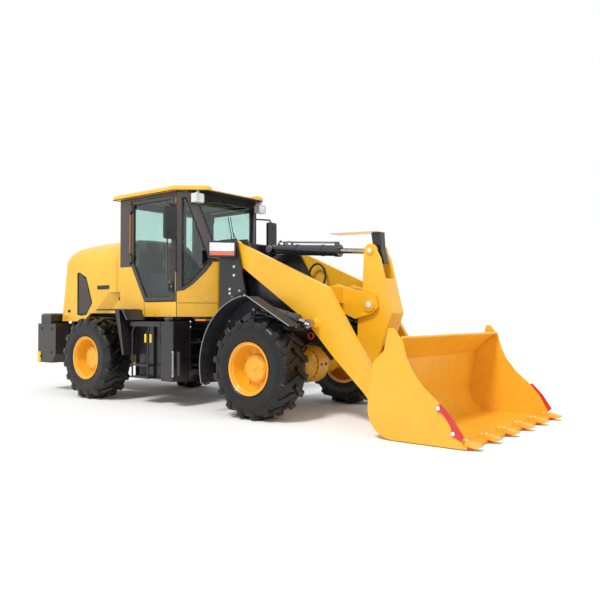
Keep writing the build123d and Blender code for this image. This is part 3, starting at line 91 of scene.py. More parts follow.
def through(a, b, c, steps, less=0):
    """Pairs on the arc from a through b to c; less is taken off its radius."""
    (ax, ay), (bx, by), (cx, cy) = a, b, c
    d = 2 * (ax * (by - cy) + bx * (cy - ay) + cx * (ay - by))
    aa, bb, cc = ax**2 + ay**2, bx**2 + by**2, cx**2 + cy**2
    u = (aa * (by - cy) + bb * (cy - ay) + cc * (ay - by)) / d
    v = (aa * (cx - bx) + bb * (ax - cx) + cc * (bx - ax)) / d
    r = math.hypot(ax - u, ay - v) - less
    start = math.atan2(ay - v, ax - u)
    sweep = (math.atan2(cy - v, cx - u) - start + math.pi) % math.tau - math.pi
    turns = [start + sweep * k / steps for k in range(steps + 1)]
    return [(u + r * math.cos(t), v + r * math.sin(t)) for t in turns]


def smooth_run(points, steps=6):
    """A smooth run through the given points."""
    line = []
    for i in range(len(points) - 1):
        p0, p1 = points[max(i - 1, 0)], points[i]
        p2, p3 = points[i + 1], points[min(i + 2, len(points) - 1)]
        for t in (k / steps for k in range(steps)):
            line.append(0.5 * ((2 * p1) + (p2 - p0) * t + (2 * p0 - 5 * p1 + 4 * p2 - p3) * t * t
                               + (3 * p1 - p0 - 3 * p2 + p3) * t ** 3))
    return line + [points[-1]]


def soft_box(a0, a1, b0, b1, r):
    """Pairs of a rounded rectangle, four to each corner."""
    corners = ((a1 - r, b1 - r, 0), (a0 + r, b1 - r, 90), (a0 + r, b0 + r, 180), (a1 - r, b0 + r, 270))
    points = []
    for ca, cb, start in corners:
        for t in (math.radians(start + 30 * k) for k in range(4)):
            points.append((ca + r * math.cos(t), cb + r * math.sin(t)))
    return points


def inset(outline, d):
    """A convex outline of pairs moved in by d."""
    count = len(outline)
    area = sum(outline[i - 1][0] * outline[i][1] - outline[i][0] * outline[i - 1][1] for i in range(count))
    sign = 1 if area > 0 else -1
    lines = []
    for i in range(count):
        p, q = Vector(outline[i - 1]), Vector(outline[i])
        along = (q - p).normalized()
        lines.append((p + Vector((-along.y, along.x)) * d * sign, along))
    points = []
    for i in range(count):
        (p, u), (q, v) = lines[i], lines[(i + 1) % count]
        t = ((q.x - p.x) * v.y - (q.y - p.y) * v.x) / (u.x * v.y - u.y * v.x)
        points.append((p.x + u.x * t, p.y + u.y * t))
    return points


def within(x, z, outline):
    """Whether the pair (x, z) lies in a closed outline."""
    hit = False
    for i, (xb, zb) in enumerate(outline):
        xa, za = outline[i - 1]
        if (za > z) != (zb > z) and x < (xb - xa) * (z - za) / (zb - za) + xa:
            hit = not hit
    return hit


def puck(radius, height, top, rim):
    """Profile of a low turned cap: straight up to height, then in to rim at top."""
    return [(0, radius), (height, radius), (top, rim)]


# ---- materials -----------------------------------------------------------------------
def srgb(r, g, b):
    """A colour written as it looks on a screen, 0 to 255, as linear values."""
    def lin(v):
        v /= 255
        return v / 12.92 if v <= 0.04045 else ((v + 0.055) / 1.055) ** 2.4
    return (lin(r), lin(g), lin(b), 1.0)


def shade(color, k):
    """A colour made k times as bright."""
    return tuple(min(1.0, c * k) for c in color[:3]) + (1.0,)


class Nodes:
    """A new material with its principled shader, and short ways to add nodes."""

    def __init__(self, name):
        self.mat = bpy.data.materials.new(name)
        self.mat.use_nodes = True
        self.tree = self.mat.node_tree
        self.shader = self.tree.nodes["Principled BSDF"]
        self.place = self.tree.nodes.new("ShaderNodeTexCoord").outputs["Object"]

    def put(self, target, value):
        """Gives an input its value, or links it to another node's output."""
        if isinstance(value, bpy.types.NodeSocket):
            self.tree.links.new(value, target)
        else:
            target.default_value = value

    def set(self, **values):
        for key, value in values.items():
            self.put(self.shader.inputs[key.replace("_", " ")], value)

    def add(self, kind, inputs, out=0, **settings):
        """A new node's output."""
        node = self.tree.nodes.new("ShaderNode" + kind)
        for key, value in settings.items():
            setattr(node, key, value)
        for key, value in inputs.items():
            self.put(node.inputs[key], value)
        return node.outputs[out]

    def noise(self, scale, detail=3.0, rough=0.5, stretch=None):
        place = self.add("Mapping", {"Vector": self.place, "Scale": stretch}) if stretch else self.place
        values = {"Vector": place, "Scale": scale, "Detail": detail, "Roughness": rough}
        return self.add("TexNoise", values, "Fac")

    def remap(self, source, *ends):
        """From the range of the first two ends to the range of the last two."""
        return self.add("MapRange", dict(enumerate((source, *ends))))

    def height(self, z0, z1):
        """From 1 at height z0 down to 0 at z1."""
        return self.remap(self.add("SeparateXYZ", {"Vector": self.place}, "Z"), z0, z1, 1.0, 0.0)

    def math(self, kind, first, second):
        return self.add("Math", {0: first, 1: second}, operation=kind)

    def mix(self, factor, a, b):
        """A mix of two colours, whose sockets are the node's seventh and eighth."""
        return self.add("Mix", {0: factor, 6: a, 7: b}, 2, data_type="RGBA")

    def bump(self, source, strength, distance=0.001, edge=0.0):
        """Relief from a value; edge rounds hard edges by that radius."""
        values = {"Strength": strength, "Distance": distance, "Height": source}
        if edge:
            values["Normal"] = self.add("Bevel", {"Radius": edge}, samples=4)
        return self.add("Bump", values)

    def finish(self, color, rough, **more):
        self.set(Base_Color=color, Roughness=rough, **more)
        return self.mat


DUST = srgb(150, 132, 104)


def paint(name, color, rough=0.32, coat=0.35, dust=0.25, grime=0.0, peel=0.12):
    """Enamel with faint clouds, orange peel, dust that thickens towards the ground."""
    n = Nodes(name)
    cloud = n.remap(n.noise(2.3, 4, 0.55), 0.35, 0.7, 0.0, 1.0)
    body = n.mix(cloud, shade(color, 0.93), shade(color, 1.05))
    streak = n.remap(n.noise(9.0, 5, 0.6, (1.0, 1.0, 0.25)), 0.56, 0.78, 0.0, 0.35 + grime)
    body = n.mix(streak, body, shade(color, 0.80))
    film = n.math("MULTIPLY", n.height(0.15, 1.25), n.remap(n.noise(14.0, 6, 0.65), 0.42, 0.75, 0.0, dust))
    gloss = n.remap(n.noise(22.0, 4, 0.6), 0.3, 0.75, rough - 0.06, rough + 0.10)
    gloss = n.math("ADD", gloss, n.math("MULTIPLY", film, 0.6))
    n.set(Coat_Weight=coat, Coat_Roughness=0.08)
    return n.finish(n.mix(film, body, DUST), gloss, Normal=n.bump(n.noise(320.0, 2), peel, 0.0006, 0.004))


def plastic(name, color, rough=0.5, grain=380.0, depth=0.25):
    """Moulded plastic with a fine grain."""
    n = Nodes(name)
    body = n.mix(n.remap(n.noise(5.0, 4), 0.35, 0.7, 0.0, 1.0), shade(color, 0.85), shade(color, 1.2))
    film = n.math("MULTIPLY", n.height(0.1, 2.2), n.remap(n.noise(20.0, 5), 0.45, 0.8, 0.0, 0.16))
    gloss = n.remap(n.noise(35.0, 3), 0.3, 0.7, rough - 0.07, rough + 0.1)
    return n.finish(n.mix(film, body, DUST), gloss, Normal=n.bump(n.noise(grain, 2), depth, 0.0005, 0.002))


def rubber(name, color, dust, rough):
    """Tyre rubber: dust in random patches, with scuffs and a fine mould texture."""
    n = Nodes(name)
    body = n.mix(n.remap(n.noise(6.0, 5, 0.6), 0.35, 0.7, 0.0, 1.0), shade(color, 0.8), shade(color, 1.3))
    film = n.remap(n.noise(11.0, 7, 0.7), 0.5, 0.82, 0.0, dust)
    gloss = n.remap(n.noise(30.0, 4), 0.3, 0.7, rough - 0.08, rough + 0.12)
    n.set(Specular_IOR_Level=0.4)
    relief = n.bump(n.noise(150.0, 5, 0.65), 0.35, 0.0012)
    return n.finish(n.mix(film, body, srgb(112, 104, 94)), gloss, Normal=relief)


def metal(name, color, rough):
    """Bare or plated metal with faint smears."""
    n = Nodes(name)
    body = n.mix(n.remap(n.noise(16.0, 5), 0.35, 0.7, 0.0, 1.0), shade(color, 0.72), shade(color, 1.05))
    gloss = n.remap(n.noise(40.0, 4, 0.6), 0.3, 0.7, rough - 0.08, rough + 0.12)
    return n.finish(body, gloss, Metallic=1.0, Normal=n.bump(n.noise(260.0, 3), 0.06, 0.0004))


def cloth(name, color):
    """Woven seat cloth: two crossed sets of threads and a little fuzz."""
    n = Nodes(name)
    threads = {"Vector": n.place, "Scale": 95.0, "Distortion": 0.8}
    weave = [n.add("TexWave", threads, "Fac", bands_direction=way) for way in ("X", "Y")]
    thread = n.math("MAXIMUM", *weave)
    body = n.mix(thread, shade(color, 0.6), shade(color, 1.5))
    body = n.mix(n.remap(n.noise(9.0, 4), 0.4, 0.75, 0.0, 0.5), body, shade(color, 0.7))
    n.set(Sheen_Weight=0.35, Sheen_Roughness=0.5)
    gloss = n.remap(n.noise(60.0, 3), 0.3, 0.7, 0.82, 0.95)
    return n.finish(body, gloss, Normal=n.bump(thread, 0.4, 0.0012))


def glass(name, color, alpha, rough):
    """Lamp glass with faint dust smears; alpha is how much it hides."""
    n = Nodes(name)
    haze = n.remap(n.noise(4.0, 6, 0.62), 0.35, 0.8, 0.0, 1.0)
    veil = n.remap(n.noise(2.2, 5, 0.6), 0.3, 0.8, alpha - 0.03, alpha + 0.06)
    n.set(IOR=1.5, Specular_IOR_Level=0.8, Alpha=veil)
    gloss = n.remap(n.noise(24.0, 4), 0.4, 0.8, rough, rough + 0.05)
    return n.finish(n.mix(haze, color, shade(color, 1.5)), gloss, Normal=n.bump(n.noise(1.6, 2), 0.05, 0.004))


def pane(name, color):
    """Clear tinted window glass with a faint film of dust on it."""
    n = Nodes(name)
    haze = n.remap(n.noise(3.0, 6, 0.62), 0.4, 0.8, 0.0, 1.0)
    n.set(IOR=1.45, Transmission_Weight=1.0, Specular_IOR_Level=0.25)
    return n.finish(n.mix(haze, color, shade(color, 0.94)), n.remap(n.noise(24.0, 4), 0.4, 0.8, 0.0, 0.03))


M = {
    "yellow": paint("yellow_enamel", srgb(246, 186, 38), dust=0.18),
    "bucket": paint("bucket_enamel", srgb(244, 180, 44), 0.38, 0.15, 0.22, grime=0.15, peel=0.2),
    "rim": paint("rim_enamel", srgb(247, 176, 28), 0.36, dust=0.3),
    "black": paint("black_enamel", srgb(22, 21, 25), 0.32, 0.3, 0.08),
    "frame": paint("frame_enamel", srgb(22, 21, 24), 0.40, 0.2, 0.2),
    "grey": paint("grey_enamel", srgb(86, 86, 90), 0.42, 0.1, 0.3),
    "pillar": paint("pillar_enamel", srgb(58, 48, 43), 0.30, 0.4, 0.05),
    "red": paint("red_enamel", srgb(205, 40, 34), 0.34, dust=0.2),
    "white": paint("white_enamel", srgb(226, 226, 224), 0.35, dust=0.05),
    "cast": paint("cast_enamel", srgb(52, 45, 42), 0.42, 0.15, 0.15, peel=0.5),
    "mesh": paint("mesh_enamel", srgb(14, 14, 15), 0.6, 0.0, 0.1),
    "bronze": paint("bronze_enamel", srgb(118, 106, 94), 0.32, 0.4, 0.1),
    # orange copy of the yellow enamel: painted shade for the cab's shaded edge faces and the ledge under the
    # nose
    "edge": paint("shaded_yellow_enamel", srgb(226, 134, 36), 0.34, dust=0.1),
    "pipe": paint("pipe_enamel", srgb(150, 148, 150), 0.35, 0.1, 0.15),
    "barrel": paint("cylinder_enamel", srgb(44, 46, 56), 0.28, 0.4, 0.1),
    "tyre": rubber("tyre_rubber", srgb(15, 14, 14), 0.06, 0.33),
    "seal": rubber("seal_rubber", srgb(24, 24, 25), 0.1, 0.5),
    "hose": rubber("hose_rubber", srgb(26, 26, 27), 0.12, 0.45),
    "plastic": plastic("black_plastic", srgb(36, 36, 38)),
    "trim": plastic("grey_plastic", srgb(92, 92, 94), 0.45),
    "mat": plastic("floor_mat", srgb(40, 40, 41), 0.75, 120.0, 0.5),
    "fender": plastic("fender_plastic", srgb(34, 35, 42), 0.62),
    "lining": plastic("cab_lining", srgb(27, 22, 18), 0.6),
    "liner": plastic("cab_headliner", srgb(146, 132, 108), 0.75, 120.0),
    "amber": plastic("amber_reflector", srgb(238, 196, 40), 0.25, 700.0, 0.4),
    "cap": plastic("blue_grey_plastic", srgb(66, 74, 96), 0.35),
    "rod": metal("rod_chrome", srgb(196, 186, 180), 0.16),
    "steel": metal("pin_steel", srgb(206, 206, 208), 0.34),
    "dark_steel": metal("dark_steel", srgb(110, 108, 106), 0.42),
    "mirror": metal("mirror_glass", srgb(235, 238, 240), 0.08),
    "reflector": metal("reflector", srgb(240, 240, 240), 0.14),
    "seat": cloth("seat_cloth", srgb(36, 35, 38)),
    "glass": pane("cab_glass", (0.66, 0.84, 0.80, 1.0)),
    "lens": glass("clear_lens", (0.85, 0.88, 0.9, 1.0), 0.35, 0.04),
    "orange_lens": glass("orange_lens", srgb(235, 92, 20), 0.85, 0.08),
    "red_lens": glass("red_lens", srgb(170, 16, 14), 0.9, 0.08),
}


# ---- mesh building -------------------------------------------------------------------
def place(name, data):
    """A new object in the scene."""
    item = bpy.data.objects.new(name, data)
    bpy.context.scene.collection.objects.link(item)
    return item


class Mesh:
    """Points in metres and faces, each face with a material index; sizes are given in millimetres."""

    def __init__(self):
        self.points, self.faces, self.index = [], [], []

    def grid(self, rows, mat=0, closed=False, ring=False, caps=False):
        """A skin over rows of points; ring closes each row, closed joins the last row to the first."""
        n, m = len(rows), len(rows[0])
        faces = []
        for i in range(n if closed else n - 1):
            for j in range(m if ring else m - 1):
                below, above, k = i * m, (i + 1) % n * m, (j + 1) % m
                faces.append((below + j, below + k, above + k, above + j))
        if caps:
            faces.append(tuple(reversed(range(m))))
            faces.append(tuple(range((n - 1) * m, n * m)))
        base = len(self.points)
        self.points += [tuple(p) for row in rows for p in row]
        self.faces += [tuple(base + i for i in face) for face in faces]
        self.index += [mat] * len(faces)

    def prism(self, outline, lift, mat=0):
        """A plate: outline points raised by the vector lift."""
        lift = Vector([v / 1000 for v in lift])
        self.grid([outline, [p + lift for p in outline]], mat, ring=True, caps=True)

    def box(self, centre, size, mat=0, turn=None):
        """A block about its centre; turn is a rotation matrix."""
        half = Vector(size) / 2000
        turn = turn or Matrix.Identity(3)
        rows = [[centre + turn @ Vector((x * half.x, y * half.y, z * half.z))
                 for x, y in ((-1, -1), (1, -1), (1, 1), (-1, 1))] for z in (-1, 1)]
        self.grid(rows, mat, ring=True, caps=True)

    def tube(self, path, radius, sides=12, mat=0, caps=True):
        """A round bar along a path; radius may be a list, one for each point."""
        radii = radius if isinstance(radius, list) else [radius] * len(path)
        side = (path[1] - path[0]).orthogonal()
        rows = []
        for i, p in enumerate(path):
            ahead = (path[min(i + 1, len(path) - 1)] - path[max(i - 1, 0)]).normalized()
            side = (side - ahead * side.dot(ahead)).normalized()
            rows.append(around(p, radii[i], sides, side, ahead.cross(side)))
        self.grid(rows, mat, ring=True, caps=caps)

    def turned(self, centre, axis, profile, sides=48, mat=0, hoop=False):
        """Revolves (distance along the axis, radius) pairs about an axis; a hoop is open in the middle."""
        axis = Vector(axis).normalized()
        side = axis.orthogonal().normalized()
        rows = [around(centre + axis * d / 1000, r, sides, side, axis.cross(side)) for d, r in profile]
        self.grid(rows, mat, ring=True, closed=hoop, caps=not hoop)

    def studs(self, side, places, profile, sides, mat=0):
        """Turned pieces that stand out sideways, at places written for the left side."""
        for foot in run(side, *places):
            self.turned(foot, Y * side, profile, sides, mat)

    def bolts(self, feet, axis, radius, mat=0, height=None, washer=True):
        """Hexagon heads, each on a washer."""
        height = height or radius * 0.75
        base = radius * 0.16 if washer else 0
        head = [(base, radius), (base + height * 0.8, radius), (base + height, radius * 0.84)]
        for foot in feet:
            if washer:
                self.turned(foot, axis, [(0, radius * 1.45), (base, radius * 1.45)], 18, mat)
            self.turned(foot, axis, head, 6, mat)

    def bead(self, points, radius, mat=0, sides=6):
        """A closed bead of round section along a loop of points that lie in one plane."""
        count = len(points)
        middle = sum(points, Vector()) / count
        normal = (points[0] - middle).cross(points[1] - middle).normalized()
        rows = []
        for i, p in enumerate(points):
            back = (p - points[i - 1]).normalized()
            ahead = (points[(i + 1) % count] - p).normalized()
            out = (back + ahead).normalized().cross(normal)
            rows.append(around(p, radius, sides, out / max(0.4, out.dot(ahead.cross(normal))), normal))
        self.grid(rows, mat, closed=True, ring=True)

    def weld(self, points, radius, mat=0):
        """A rippled weld bead along a line of points."""
        line = []
        for p, q in zip(points, points[1:]):
            steps = max(2, int((q - p).length / 0.007))
            line += [p.lerp(q, k / steps) for k in range(steps)]
        line.append(points[-1])
        self.tube(line, [radius * (1.0 + 0.16 * math.sin(k * 2.1)) for k in range(len(line))], 6, mat)

    def hose(self, points, radius=11, mat=0, end=1):
        """A bent hose with crimped ferrules at both ends."""
        line = smooth_run(points, 8)
        self.tube(line, radius, 12, mat)
        ferrule = [(0, radius * 1.15), (10, radius * 1.5), (30, radius * 1.45), (34, radius * 1.1)]
        for tip, inner in ((line[0], line[2]), (line[-1], line[-3])):
            self.turned(tip, inner - tip, ferrule, 12, end)

    def make(self, name, mats, body, bevel=0.0, smooth=35, replaces=(), segments=2):
        """The finished piece, riding on a body."""
        data = bpy.data.meshes.new(name)
        data.from_pydata(self.points, [], self.faces)
        for key in mats:
            data.materials.append(M[key])
        data.polygons.foreach_set("material_index", self.index)
        data.polygons.foreach_set("use_smooth", [True] * len(self.faces))
        data.set_sharp_from_angle(angle=math.radians(smooth))
        data.update()
        piece = place(name, data)
        if bevel:
            mod = piece.modifiers.new("bevel", "BEVEL")
            mod.width = bevel / 1000
            mod.segments = segments
            mod.limit_method = "ANGLE"
            mod.angle_limit = math.radians(40)
            mod.harden_normals = True
        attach(piece, body)
        if replaces:
            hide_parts(*replaces)
        return piece


# ---- camera, light and floor ---------------------------------------------------------
def sun(name, energy, spread, direction):
    lamp = place(name, bpy.data.lights.new(name, "SUN"))
    lamp.data.energy = energy
    lamp.data.angle = math.radians(spread)
    lamp.rotation_euler = Vector(direction).to_track_quat("-Z", "Y").to_euler()
    return lamp


def sky(world):
    """A soft grey light that shows as white to the camera, in mirrors and through glass."""
    world.use_nodes = True
    tree = world.node_tree
    light, out = tree.nodes["Background"], tree.nodes["World Output"]
    light.inputs["Color"].default_value = (0.95, 0.97, 1.0, 1.0)
    light.inputs["Strength"].default_value = 0.62
    seen = tree.nodes.new("ShaderNodeBackground")
    seen.inputs["Color"].default_value = (1.0, 1.0, 1.0, 1.0)
    rays = tree.nodes.new("ShaderNodeLightPath")
    mix = tree.nodes.new("ShaderNodeMixShader")
    total = rays.outputs["Is Camera Ray"]
    for extra in ("Is Glossy Ray", "Is Transmission Ray"):
        add = tree.nodes.new("ShaderNodeMath")
        add.operation = "MAXIMUM"
        tree.links.new(total, add.inputs[0])
        tree.links.new(rays.outputs[extra], add.inputs[1])
        total = add.outputs[0]
    for i, source in enumerate((total, light.outputs[0], seen.outputs[0])):
        tree.links.new(source, mix.inputs[i])
    tree.links.new(mix.outputs[0], out.inputs["Surface"])


def studio():
    """The photograph's camera, a sun with a fill light, the sky and a pale floor."""
    scene = bpy.context.scene
    camera = place("camera", bpy.data.cameras.new("camera"))
    camera.data.lens = 39.83
    camera.data.sensor_width = 36.0
    camera.location = at(4753.4, -6116.8, 1100.2)
    yaw, pitch = math.radians(38.63), math.radians(1.30)
    ahead = Vector((-math.sin(yaw) * math.cos(pitch), math.cos(yaw) * math.cos(pitch), math.sin(pitch)))
    camera.rotation_euler = ahead.to_track_quat("-Z", "Y").to_euler()
    scene.camera = camera
    scene.view_settings.view_transform = "Standard"
    scene.world = bpy.data.worlds.new("world")
    sky(scene.world)
    sun("sun", 2.15, 14, (-0.05, 0.70, -1.0)).data.color = (1.0, 0.985, 0.95)
    sun("fill", 0.55, 60, (-1.0, 0.25, -0.45))

    size = 60.0
    data = bpy.data.meshes.new("floor")
    corners = [(-size, -size, 0), (size, -size, 0), (size, size, 0), (-size, size, 0)]
    data.from_pydata(corners, [], [(0, 1, 2, 3)])
    floor = place("floor", data)
    n = Nodes("floor")
    patches = n.mix(n.noise(0.8, 4), (0.90, 0.90, 0.90, 1), (0.94, 0.94, 0.94, 1))
    data.materials.append(n.finish(patches, 0.9, Specular_IOR_Level=0.1))


# ---- the CAD nodes' own finishes -----------------------------------------------------
def pair(name):
    """The names of a left and a right node."""
    return [name + "_" + hand for hand, side in SIDES]


FINISH = {
    "yellow": ["rear_axle", "front_axle", "hood", "cab_panels", "cab_roof", "boom", "rocker", "bucket_link",
               "guard_plate"],
    "bucket": ["bucket", "bucket_teeth"],
    "red": ["side_cutters"],
    "frame": ["rear_frame", "front_frame", "rear_mudguards"],
    "fender": ["front_fenders"],
    "black": ["boom_tower", "side_tanks", "ladders", "guard_post", "headlamps", "tail_lamps"]
    + pair("steer_barrel"),
    "barrel": pair("lift_barrel") + ["tilt_barrel"],
    "grey": ["rear_drive_shaft", "front_drive_shaft"],
    "cast": ["counterweight", "engine_block"],
    "pillar": ["cab_frame"] + pair("door"),
    "mat": ["cab_floor"],
    "mesh": ["hood_grilles"],
    "glass": ["cab_glass"] + pair("door_glass"),
    "lens": ["headlamp_lenses"],
    "plastic": ["seat_base", "cab_consoles", "steering_wheel", "mirrors"],
    "white": ["work_lamps"],
    "seat": ["seat_cushions"],
    "steel": ["tilt_pin"],
    "rod": ["tilt_rod"] + pair("steer_rod") + pair("lift_rod"),
    "tyre": ["tyre_" + corner for corner in CORNERS],
    "rim": ["rim_" + corner for corner in CORNERS],
}


def dress():
    """Gives every CAD node its material."""
    for key, names in FINISH.items():
        for name in names:
            slots = NODES[name].data.materials
            if len(slots) == 0:
                slots.append(M[key])
            for i in range(len(slots)):
                slots[i] = M[key]


# ---- tyres and wheels ----------------------------------------------------------------
CARCASS = [                 # (across from the middle plane, radius) of one half, bead to crown
    (160, 254.5), (174.5, 284), (180, 296), (186, 302), (186, 312), (188, 318), (192.5, 350), (194.5, 385),
    (193.5, 415), (190, 440), (186, 447), (187, 452), (182, 470), (171, 489), (150, 499), (100, 504.5),
    (50, 507), (0, 508),
]
# along a lug: distance across, radius at its top and at its foot, half width, swing in degrees
LUG = [
    (-16, 537.5, 506, 21, 0.0), (22, 537.8, 506, 26, 1.5), (60, 537.5, 504, 30, 5.25),
    (98, 536.5, 502, 32, 8.75), (136, 535, 498, 33, 10.75), (166, 532.5, 486, 34, 11.5),
    (181.5, 524, 470, 34, 11.625), (190.5, 496, 452, 32, 11.625), (193.5, 468, 440, 29, 11.625),
]
LUG_COUNT = 17
LUG_START = 87.1            # degrees, so that the lugs lie where the frame's tyres have them
RIBS = ((189.8, 332), (192.5, 426))     # moulded rings on the side wall: across, radius
RIM_HOOP = [(155.5, 243.2), (183.5, 279.0), (186.5, 282.0), (183.5, 282.2), (154.0, 245.0)]


def tyre(corner, centre):
    """Loader tyre: bellied carcass and deep angled lugs that run down on the shoulders."""
    mesh = Mesh()
    sides = 96
    profile = CARCASS + [(-w, r) for w, r in reversed(CARCASS[:-1])]
    mesh.grid([around(centre + Y * w / 1000, r, sides) for w, r in profile], ring=True, closed=True)
    for side in BOTH:
        for i in range(LUG_COUNT):
            start = LUG_START + 360 / LUG_COUNT * (i + (0.5 if side < 0 else 0.0))
            rows = []
            for w, top, foot, half, swing in LUG:
                section = [(foot, -half - 11), (top - 4, -half), (top, 4 - half), (top, half - 4),
                           (top - 4, half), (foot, half + 11)]
                turns = [math.radians(start - swing) + d / 1000 / TYRE_R for r, d in section]
                row = [centre + (X * math.cos(b) + Z * math.sin(b)) * r / 1000 + Y * side * w / 1000
                       for b, (r, d) in zip(turns, section)]
                rows.append(row[::side])
            mesh.grid(rows, ring=True, caps=True)
        for w, r in RIBS:
            ring = [(w + 2.2 * math.sin(b), r + 2.2 * math.cos(b)) for b in circle(6)]
            mesh.turned(centre, Y * side, ring, sides, hoop=True)
    mesh.make("tyre_tread_" + corner, ["tyre"], "wheel_" + corner, smooth=38, replaces=["tyre_" + corner])


def wheel_trim(corner, centre, out):
    """Nuts, drain plug, hub ring, edge hoop and valve of a rim; out is +1 on the left wheels."""
    mesh = Mesh()
    axis = Y * out
    hub = centre + axis * 0.076
    mesh.bolts(around(centre + axis * 0.031, 192, 10, turn=0.5), axis, 12.5, height=14)
    mesh.turned(hub, axis, puck(22, 4, 6, 19), 24)
    mesh.bolts(around(hub, 118, 6), axis, 7.5, height=6)
    mesh.turned(hub, axis, [(0, 135), (3, 135), (3, 131), (0, 131)], 64, hoop=True)
    mesh.turned(centre, axis, RIM_HOOP, 96, hoop=True)
    stem = centre + Vector((0.225, out * 0.085, 0.05))
    bends = ((0, 0), (-0.012, 0.022), (-0.02, 0.04))
    mesh.tube([stem + Vector((dx, out * dy, 0)) for dx, dy in bends], 4.5, 10)
    mesh.make("wheel_trim_" + corner, ["rim"], "wheel_" + corner, bevel=1.5)


def wheels():
    """Tyres and wheel trims at the four corners."""
    for corner in CORNERS:
        out = 1 if corner.endswith("left") else -1
        centre = Vector((AXLE_X if corner.startswith("front") else REAR_X, out * WHEEL_Y, TYRE_R))
        tyre(corner, centre)
        wheel_trim(corner, centre, out)


# ---- hood ----------------------------------------------------------------------------
GRILLE = [(-3726, 1702), (-3721, 1103), (-3616, 1090), (-3495, 1103), (-3352, 1274), (-3499, 1635),
          (-3671, 1716)]
CELL_X, CELL_Z = 26.0, 20.0        # half of a cell of the expanded metal
SEAM_X, GRIP_Z = -2785, 1690


def tail_x(z):
    """The hood's rear face at height z."""
    return -4110 + 120 * (z - 1010) / 740


def hood_mesh():
    """Expanded metal in the hood's side openings, in a dark frame."""
    mesh = Mesh()
    field, inner = inset(GRILLE, 12), inset(GRILLE, 16)
    columns, levels = (range(int(min(ends) / cell) - 1, int(max(ends) / cell) + 1)
                       for ends, cell in zip(zip(*GRILLE), (CELL_X, CELL_Z)))
    for side in BOTH:
        edges = ((GRILLE, 641), (GRILLE, 650.5), (inner, 650.5), (inner, 641))
        rows = [[at(x, side * y, z) for x, z in outline] for outline, y in edges]
        mesh.grid(rows, 1, closed=True, ring=True)
        for i in columns:
            for j in levels:
                x, z = i * CELL_X, j * CELL_Z
                if (i + j) % 2 or not within(x, z, field):
                    continue
                for up in BOTH:
                    if within(x + CELL_X, z + up * CELL_Z, field):
                        ends = run(side, (x, 645, z), (x + CELL_X, 645 - 2 * up, z + up * CELL_Z))
                        mesh.tube(ends, 4.2, 4, 0, False)
    mesh.make("hood_mesh", ["bronze", "mesh"], "rear_body", smooth=20)


def hood_louvres():
    """Blades and frame of the rear opening."""
    mesh = Mesh()
    left = 386
    for z in range(1172, 1610, 31):
        x = tail_x(z)
        blade = [(x + 8, z + 16), (x - 11, z - 9), (x - 13, z - 13), (x - 9, z - 13), (x + 10, z + 10)]
        mesh.prism([at(u, -left, w) for u, w in blade], (0, 2 * left, 0))
    for y in (-393, -131, 131, 393):
        mesh.tube([at(tail_x(z) - 5, y, z) for z in (1150, 1620)], 9, 8, 1)
    for z in (1152, 1618):
        mesh.tube([at(tail_x(z) - 5, y, z) for y in (-393, 393)], 9, 8, 1)
    mesh.make("hood_louvres", ["mesh", "black"], "rear_body", bevel=0.8)


def crown():
    """Half section of the hood's top, from the side up to the middle."""
    points = through((650, 1770), (565, 2025), (380, 2128), 12)
    points += through((380, 2128), (0, 2140), (-380, 2128), 12)
    return [p for p in points if p[0] >= 0]


def hood_fittings():
    """Seams, handles, latches, hinges and the small things bolted to the hood."""
    mesh = Mesh()
    for side in BOTH:
        seams = ([(HOOD_Y, 1413), (HOOD_Y, 1770)], [(606, 1409), (585, 1343), (585, 1130)],
                 [(y, z - 4) for y, z in crown()])
        for seam in seams:
            mesh.tube(run(side, *[(SEAM_X, y, z) for y, z in seam]), 2.8, 6)
        mesh.box(at(-3095, side * (HOOD_Y + 2), 1484), (272, 10, 52), 1)
        mesh.box(at(-3095, side * (HOOD_Y + 7), 1484), (236, 4, 22), 2)
        handle = [(-3205, 655, 1484), (-3190, 672, 1486), (-3000, 672, 1486), (-2985, 655, 1484)]
        mesh.tube(run(side, *handle), 6.5, 10, 1)
        for x, y, z in ((-2795, 589, 1322), (-3920, HOOD_Y + 2, 1159)):
            mesh.box(at(x, side * y, z), (50, 12, 36), 1)
            mesh.tube(run(side, (x - 14, y + 8, z), (x + 16, y + 15, z - 4)), 6.5, 8, 1)
            mesh.studs(side, [(x - 14, y, z)], puck(12, 9, 11, 10), 20, 1)
        mesh.turned(at(-2708, side * 612, 1882), (0, side, 0.12), puck(12, 12, 16, 8), 16, 3)
        feet = [(x, HOOD_Y, 1062) for x in (-3985, -3860, -3560)]
        feet += [(-2690, 585, 1160), (-2690, HOOD_Y, 1560)]
        mesh.bolts(run(side, *feet), Y * side, 7.5, 4)
        x = tail_x(GRIP_Z)
        grip = [(x - 2, 150, GRIP_Z), (x - 34, 150, GRIP_Z + 4), (x - 34, 0, GRIP_Z + 4)]
        mesh.tube(run(side, *grip), 7.5, 10, 1)
    mesh.make("hood_fittings", ["seal", "plastic", "dark_steel", "white", "steel"], "rear_body", bevel=1.2)
    cap = Mesh()
    for x, y, z, r in ((-3290, 250, 2100, 62), (-3420, -210, 2097, 45)):
        cap.turned(at(x, y, z), Z, [(0, r), (18, r), (24, r * 0.9), (34, r * 0.86), (37, r * 0.7)], 40)
        knurls = around(at(x, y, z + 22), r * 0.93, 12, X, Y)
        for a, spot in zip(circle(12), knurls):
            cap.box(spot, (12, 6, 14), 0, Matrix.Rotation(a, 3, "Z"))
    cap.make("filler_caps", ["plastic"], "rear_body", bevel=2)


